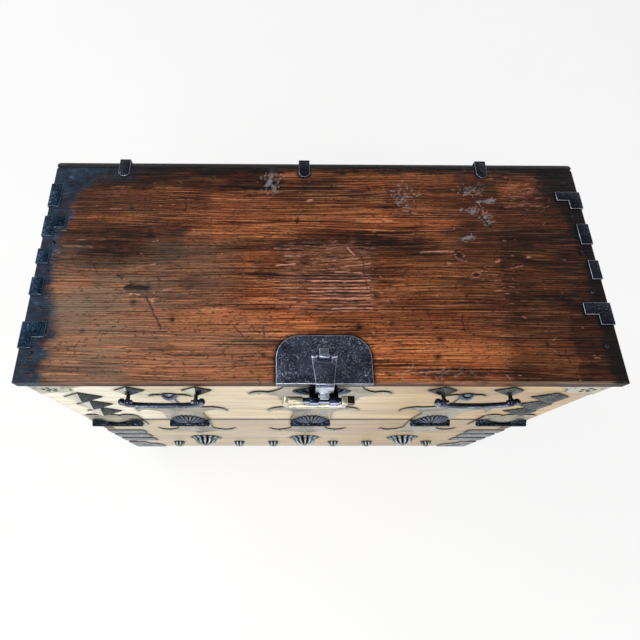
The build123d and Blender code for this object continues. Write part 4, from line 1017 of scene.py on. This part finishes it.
# %% [markdown]
# ## Iron mounts
# Hinge leaves, straps and plates keep the part's outlines. Their edges are rounded by a third to
# two thirds of a millimetre and marked as worn. Barrels and upward edges are made black, the
# barrels darker on their upper side as painted shade; the ridged lozenges get painted shade on one
# side and a painted highlight on the other. The front faces of the hasp, the lock's knuckles and
# its bar are painted bright, as a reflection.

# %% Softened mounts
BARREL_FRONT = FACE - 3.4 * MM
BARREL_HALF = 9 * MM


def remark(piece, name, values):
    """Put a new mask, one value for each face, in the place of an old one."""
    piece.data.attributes.remove(piece.data.attributes[name])
    set_mask(piece.data, name, values, "FACE")


def blackened_and_shaded(piece):
    """Darken the barrels and upward edges of a front mount, the barrels most on their upper side
    as painted shade; on ridged lozenges, paint shade on right-turned facets and on left-turned
    ones of the right-hand pieces, and a highlight on left-turned facets of the left-hand pieces.
    """
    mesh = piece.data
    spots = np.array([f.center[:] for f in mesh.polygons])
    turned = np.array([f.normal[:] for f in mesh.polygons])
    barrel = (spots[:, 1] < BARREL_FRONT) & (np.abs(spots[:, 2] - Z_HINGE) < BARREL_HALF)
    # barrels darker on their upper side: painted shade
    upper_side = np.clip(0.75 + 0.5 * turned[:, 2], 0.5, 1)
    black = np.maximum(np.clip(turned[:, 2] * 1.8 - 0.5, 0, 1), upper_side * barrel)
    if "lozenge" in piece.name or "escutcheon" in piece.name:
        on_left = spots[:, 0] < 0
        to_left, to_right = turned[:, 0] < -0.06, turned[:, 0] > 0.06
        # painted shade on facets turned right, and a painted highlight on left-turned facets at
        # the left
        black = np.maximum(black, 0.8 * to_right)
        black = np.maximum(black, 0.62 * (to_left & ~on_left))
        worn = 1.0 * (to_left & on_left & (turned[:, 2] > -0.4))
        remark(piece, "worn", worn)
    set_mask(mesh, "black", black, "FACE")


FRONT_IRON = [n for n in nodes if n.startswith(("hinge_upper", "hinge_lower", "flap_corner",
                                                "corner_straps", "foot_plate", "lock_plate_front",
                                                "flap_lozenges", "handle_escutcheons"))]
for source in FRONT_IRON:
    finish = iron_front
    if "lozenge" in source or "escutcheon" in source:
        finish = iron_ridged
    elif "flap_corner" in source:
        finish = iron_pale
    elif "corner_straps" in source or "foot_plate" in source:
        finish = iron_strap
    blackened_and_shaded(softened(source, f"forged_{source}", finish, 0.45 * MM))
for source, finish, width in (
        ("top_straps_left", iron_bloom_and_sheen, 0.35), ("top_straps_right", iron_black, 0.6),
        ("back_straps", iron_black, 0.4), ("lock_plate_top", iron_plate, 0.7),
        ("hasp_loop", iron_loop, 0.4), ("padlock_end_block", iron_block, 0.35),
        ("handle_posts_left", iron_black, 0.35), ("handle_posts_right", iron_black, 0.35)):
    softened(source, f"forged_{source}", finish, width * MM)
piece = softened("hasp", "forged_hasp", iron_plate, 0.6 * MM, 0.8)
HASP_MIDDLE = (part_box("hasp")[0].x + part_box("hasp")[1].x) / 2
HASP_FRONT, NOSE_TOP, NOSE_HALF = Z_TOP - 3 * MM, Z_TOP - 11 * MM, 6 * MM
spots = np.array([f.center[:] for f in piece.data.polygons])
nose = (np.abs(spots[:, 0] - HASP_MIDDLE) <= NOSE_HALF) & (spots[:, 2] <= NOSE_TOP)
# the hasp's front below the top's edge is painted bright as a reflection, its nose less so
rubbed_and_lit = 0.95 * (spots[:, 2] < HASP_FRONT) * np.where(nose, 0.2, 1)
edges = np.array([d.value for d in piece.data.attributes["worn"].data])
remark(piece, "worn", np.maximum(rubbed_and_lit, edges))
for source in ("lock_knuckles", "padlock_bar"):
    piece = softened(source, f"forged_{source}", iron_knuckle, 0.35 * MM)
    # front faces of the knuckles and the bar painted bright as a reflection
    remark(piece, "worn", [0.8 * (f.normal[1] < -0.6) for f in piece.data.polygons])
for source in ("padlock_body", "padlock_shackle"):
    softened(source, f"cast_{source}", brass, 0.7 * MM)
print("front mounts softened", len(FRONT_IRON))

# %% [markdown]
# ## Chased flowers
# A chrysanthemum is chased on the leaves above and below each hinge barrel and on the three plates
# of the lower front: a low dome, its petals divided by cut grooves, black in the grooves and
# rubbed bright on the ribs. A fan of rings and rays gives the dome; a wave round it lowers each
# groove and draws in the rim between two petals.


# %% Flower shape
PETAL_RAYS, PETAL_RINGS = 8, 9


def petal_dome(bm, centre, wide, tall, proud, petals, start=0.0, sweep=360.0, groove=0.55,
               eye=0.2, full=2.2):
    """A petalled dome on the plane in front of centre, facing -Y; full 2 is a ball, 4 a bun."""
    whole = sweep >= 360
    rays = petals * PETAL_RAYS
    count = rays if whole else rays + 1
    masks = bm.verts.layers.float
    worn, black = masks["worn"], masks["black"]
    rings = []
    for r in np.linspace(0.0, 1.0, PETAL_RINGS + 1)[1:]:
        row = []
        for k in range(count):
            angle = math.radians(start + sweep * k / rays)
            # 1 on a petal's rib, 0 in a groove, where the rim draws in by 13 %
            rib = abs(math.sin(math.pi * k / PETAL_RAYS))
            reach = r * (1 - 0.13 * (1 - rib) * r)
            dome = (1 - r ** full) ** 0.5 if r < 1 else 0.0
            cut = 1.0 if r < eye else 1 - groove * (1 - rib ** 0.7)
            height = proud * max(dome, 0.25 if r < 1 else 0.0) * cut
            vert = bm.verts.new((centre[0] + wide * reach * math.cos(angle),
                                 centre[1] - height, centre[2] + tall * reach * math.sin(angle)))
            vert[worn] = 2.6 * max(rib - 0.7, 0) if r >= eye else 0.3
            vert[black] = 1.0 if r > 0.98 or rib < 0.55 else 0.0
            row.append(vert)
        rings.append(row)
    tip = bm.verts.new((centre[0], centre[1] - proud, centre[2]))
    pairs = range(count if whole else count - 1)
    for k in pairs:
        n = (k + 1) % count
        bm.faces.new((tip, rings[0][k], rings[0][n]))
        for a, b in zip(rings, rings[1:]):
            bm.faces.new((a[k], b[k], b[n], a[n]))
    bm.faces.new(rings[-1][::-1])
    if not whole:
        bm.faces.new([tip] + [row[0] for row in rings] + [row[-1] for row in rings[::-1]])


def flowers(name, body, finish, domes, stands_for=()):
    """One piece of several petalled domes, each a tuple of petal_dome's values and a dict."""
    bm = bmesh.new()
    bm.verts.layers.float.new("worn")
    bm.verts.layers.float.new("black")
    for *values, more in domes:
        petal_dome(bm, *values, **more)
    bmesh.ops.recalc_face_normals(bm, faces=bm.faces)
    return finish_mesh(bm, name, finish, body, stands_for, 60)


iron_petal = iron("chased_flower_iron", "#454b50", "#7a8184", "#c4cacb", "#cdd2cf", 0.32, 1.6,
                  0.6, 3.0)
iron_dark_petal = iron("chased_hinge_iron", "#0c1220", "#20293b", "#8c9ab6", "#8792a6", 0.32,
                       1.8, 0.85, 3.0)
hinge_nodes = ("hinge_upper_leaf_left", "hinge_upper_leaf_centre", "hinge_upper_leaf_right")
hinge_x = [(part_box(n)[0].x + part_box(n)[1].x) / 2 for n in hinge_nodes]
LEAF_FACE = FACE - 2.4 * MM
BARREL = 5.5 * MM
for name, body, side, wide, tall, proud, more in (
        ("upper_hinge_flowers", "flap", 1, 33, 52, 6, {"sweep": 180.0, "groove": 0.8}),
        ("lower_hinge_flowers", "case", -1, 27, 22, 4, {"start": 180.0, "sweep": 180.0})):
    flowers(name, body, iron_dark_petal,
            [((x, LEAF_FACE, Z_HINGE + side * BARREL), wide * MM, tall * MM, proud * MM, 11, more)
             for x in hinge_x])
print("hinge flowers at", [round(x, 3) for x in hinge_x])

# %% Flower plates and studs
def islands(source):
    """Centre and half size of each loose solid of a CAD node."""
    bm = welded(source)
    left = set(bm.verts)
    found = []
    while left:
        group, queue = [], [left.pop()]
        while queue:
            vert = queue.pop()
            group.append(vert.co[:])
            for edge in vert.link_edges:
                other = edge.other_vert(vert)
                if other in left:
                    left.remove(other)
                    queue.append(other)
        low, high = np.min(group, axis=0), np.max(group, axis=0)
        found.append(((low + high) / 2, (high - low) / 2))
    bm.free()
    return found


# each flower plate is a wide low flower with a smaller, taller one on it
plates = islands("flower_plates")
domes = []
for centre, half in plates:
    at = (centre[0], FACE, centre[2])
    domes += [(at, half[0], half[2], 7 * MM, 14, {"groove": 0.7}),
              (at, half[0] * 0.74, half[2] * 0.74, 19 * MM, 12, {"start": 13, "full": 3})]
flowers("chased_flower_plates", "case", iron_petal, domes, ["flower_plates"])
studs = islands("dome_studs")
flowers("chased_dome_studs", "case", iron_petal,
        [((c[0], FACE, c[2]), 1.25 * h[0], 1.25 * h[2], 12 * MM, 8, {"eye": 0.3, "full": 4})
         for c, h in studs], ["dome_studs"])
rosettes = islands("lock_rosette")
flowers("chased_lock_rosette", "flap", iron_dark_petal,
        [((c[0], c[1] + h[1], c[2]), h[0], h[2], 2 * h[1] + 1.5 * MM, 16, {"groove": 0.7})
         for c, h in rosettes], ["lock_rosette"])
print("rosette", [[round(float(v) / MM, 1) for v in (*c, *h)] for c, h in rosettes])
print("flower plates", len(plates), "studs", len(studs))

# %% [markdown]
# ## Pieces that are right as they are
# Turned and forged round things, such as pins, finials, bails, knobs and nail heads, are already
# smooth in the part. They keep their own mesh and only get a finish.

# %% Finishes of the nodes that keep their own mesh
plain = {"hinge_pins": iron_black, "hinge_finials": iron_steel, "handle_bail_left": iron_steel,
         "handle_bail_right": iron_steel, "flower_knobs": iron_steel, "flap_nails": iron_front,
         "front_nails": iron_front, "top_plate_nails": iron_plate, "top_board_nails": iron_black}
for name, material in plain.items():
    nodes[name].data.materials.clear()
    nodes[name].data.materials.append(material)
print("plain nodes", len(plain))

# %% [markdown]
# ## Floor
# A pale floor carries the chest and its soft shadow. Lit alone it would be grey, and more light
# would burn out the pale pine. So for the camera, and for what metal reflects, it is mostly its
# own white.

# %% Floor
floor_paint = start("pale_floor")
place = node("TexCoord", out="Object")
mottle = node("TexNoise", {}, {"Vector": place, "Scale": 3.0, "Detail": 3.0})
tint = node("ValToRGB", {"ramp": [(0.3, "#f2f2f1"), (0.7, "#f6f6f5")]}, {"Fac": mottle})
matt = node("BsdfDiffuse", {}, {"Color": tint})
glow_white = node("Emission", {}, {"Color": linear("#ffffff"), "Strength": 1.0})
WHITE_SHARE = 0.72


def looked_at():
    """1 for rays from the camera or off metal or glass, 0 for rays that light the chest."""
    kinds = [node("LightPath", out=f"Is {kind} Ray")
             for kind in ("Camera", "Glossy", "Transmission")]
    either = node("Math", {"operation": "MAXIMUM"}, {0: kinds[0], 1: kinds[1]})
    return node("Math", {"operation": "MAXIMUM"}, {0: either, 1: kinds[2]})


share = node("Math", {"operation": "MULTIPLY"}, {0: looked_at(), 1: WHITE_SHARE})
mixed = node("MixShader", {}, {0: share, 1: matt, 2: glow_white})
node("OutputMaterial", {}, {"Surface": mixed})
mesh = bpy.data.meshes.new("floor")
SIDE = 9.0
mesh.from_pydata([(-SIDE, -SIDE, 0), (SIDE, -SIDE, 0), (SIDE, SIDE, 0), (-SIDE, SIDE, 0)], [],
                 [(0, 1, 2, 3)])
mesh.materials.append(floor_paint)
floor = bpy.data.objects.new("floor", mesh)
bpy.context.scene.collection.objects.link(floor)
print("floor", SIDE * 2, "m")

# %% [markdown]
# ## Room and lamps
# Soft light from above and in front, as from a wide window. A white backdrop stands all round up
# to 25 degrees; above it the room is dim, so that the dark wood isn't veiled by its own gloss.
# Three square lamps are enough: one from the left behind and one high in front for form, one
# low in front to fill.

# %% World and lamps
world = bpy.data.worlds.new("studio")
bpy.context.scene.world = world
world.use_nodes = True
tree = world.node_tree
tree.nodes.clear()
heading = node("TexCoord", out="Generated")
towards = node("VectorMath", {"operation": "DOT_PRODUCT"},
               {0: heading, 1: (-0.45, -0.85, 0.0)}, out="Value")
room = node("MapRange", {}, {"Value": towards, "From Min": -0.7, "From Max": 0.8,
                             "To Min": 0.16, "To Max": 0.95})
# 0.42 and 0.72 are the sines of 25 and 46 degrees
upward = node("SeparateXYZ", {}, {"Vector": heading}, out="Z")
backdrop = node("MapRange", {}, {"Value": upward, "From Min": 0.42, "From Max": 0.72,
                                 "To Min": 1.0, "To Max": 0.30})
strength = node("Mix", {}, {0: looked_at(), 2: room, 3: backdrop})
sky = node("Background", {}, {"Color": linear("#ffffff"), "Strength": strength})
node("OutputWorld", {}, {"Surface": sky})


def softbox(name, place, aim, size, power):
    """A square area lamp looking at a point."""
    lamp = bpy.data.lights.new(name, "AREA")
    lamp.energy = power
    lamp.size = size
    stand = bpy.data.objects.new(name, lamp)
    bpy.context.scene.collection.objects.link(stand)
    stand.location = place
    stand.rotation_euler = (Vector(aim) - Vector(place)).to_track_quat("-Z", "Y").to_euler()


softbox("window_light", (-2.4, 1.1, 2.7), (-0.3, 0, 0.6), 1.8, 34)
softbox("ceiling_light", (-0.7, -1.7, 3.3), (0, 0, 0.6), 1.5, 48)
softbox("front_light", (0.5, -3.2, 1.6), (0, 0, 0.4), 2.4, 22)
print("lamps", len(bpy.data.lights))

# %% [markdown]
# ## Camera
# The camera stands where a grown person would hold it, in front of the chest and looking steeply
# down, with a wide lens of 27.6 mm. A small sideways shift of the lens puts the chest in the
# middle of the frame without turning the camera.

# %% Camera
# metres and radians
HELD_AT = (-0.0658, -0.37185, 1.4166)
PITCH, YAW, ROLL = 1.1816, 0.0271, 0.0275
ahead = Vector((math.sin(YAW) * math.cos(PITCH), math.cos(YAW) * math.cos(PITCH),
                -math.sin(PITCH)))
level = Vector((math.cos(YAW), -math.sin(YAW), 0))
above = level.cross(ahead)
right = math.cos(ROLL) * level + math.sin(ROLL) * above
up = -math.sin(ROLL) * level + math.cos(ROLL) * above
lens = bpy.data.cameras.new("camera")
lens.sensor_width = 36.0
lens.lens = 27.6
lens.shift_x = 0.0584
lens.clip_start = 0.05
camera = bpy.data.objects.new("camera", lens)
bpy.context.scene.collection.objects.link(camera)
turn = Matrix((right, up, -ahead)).transposed().to_4x4()
camera.matrix_world = Matrix.Translation(HELD_AT) @ turn
bpy.context.scene.camera = camera
bpy.context.scene.view_settings.view_transform = "Standard"
print("camera", [round(v, 3) for v in camera.location])
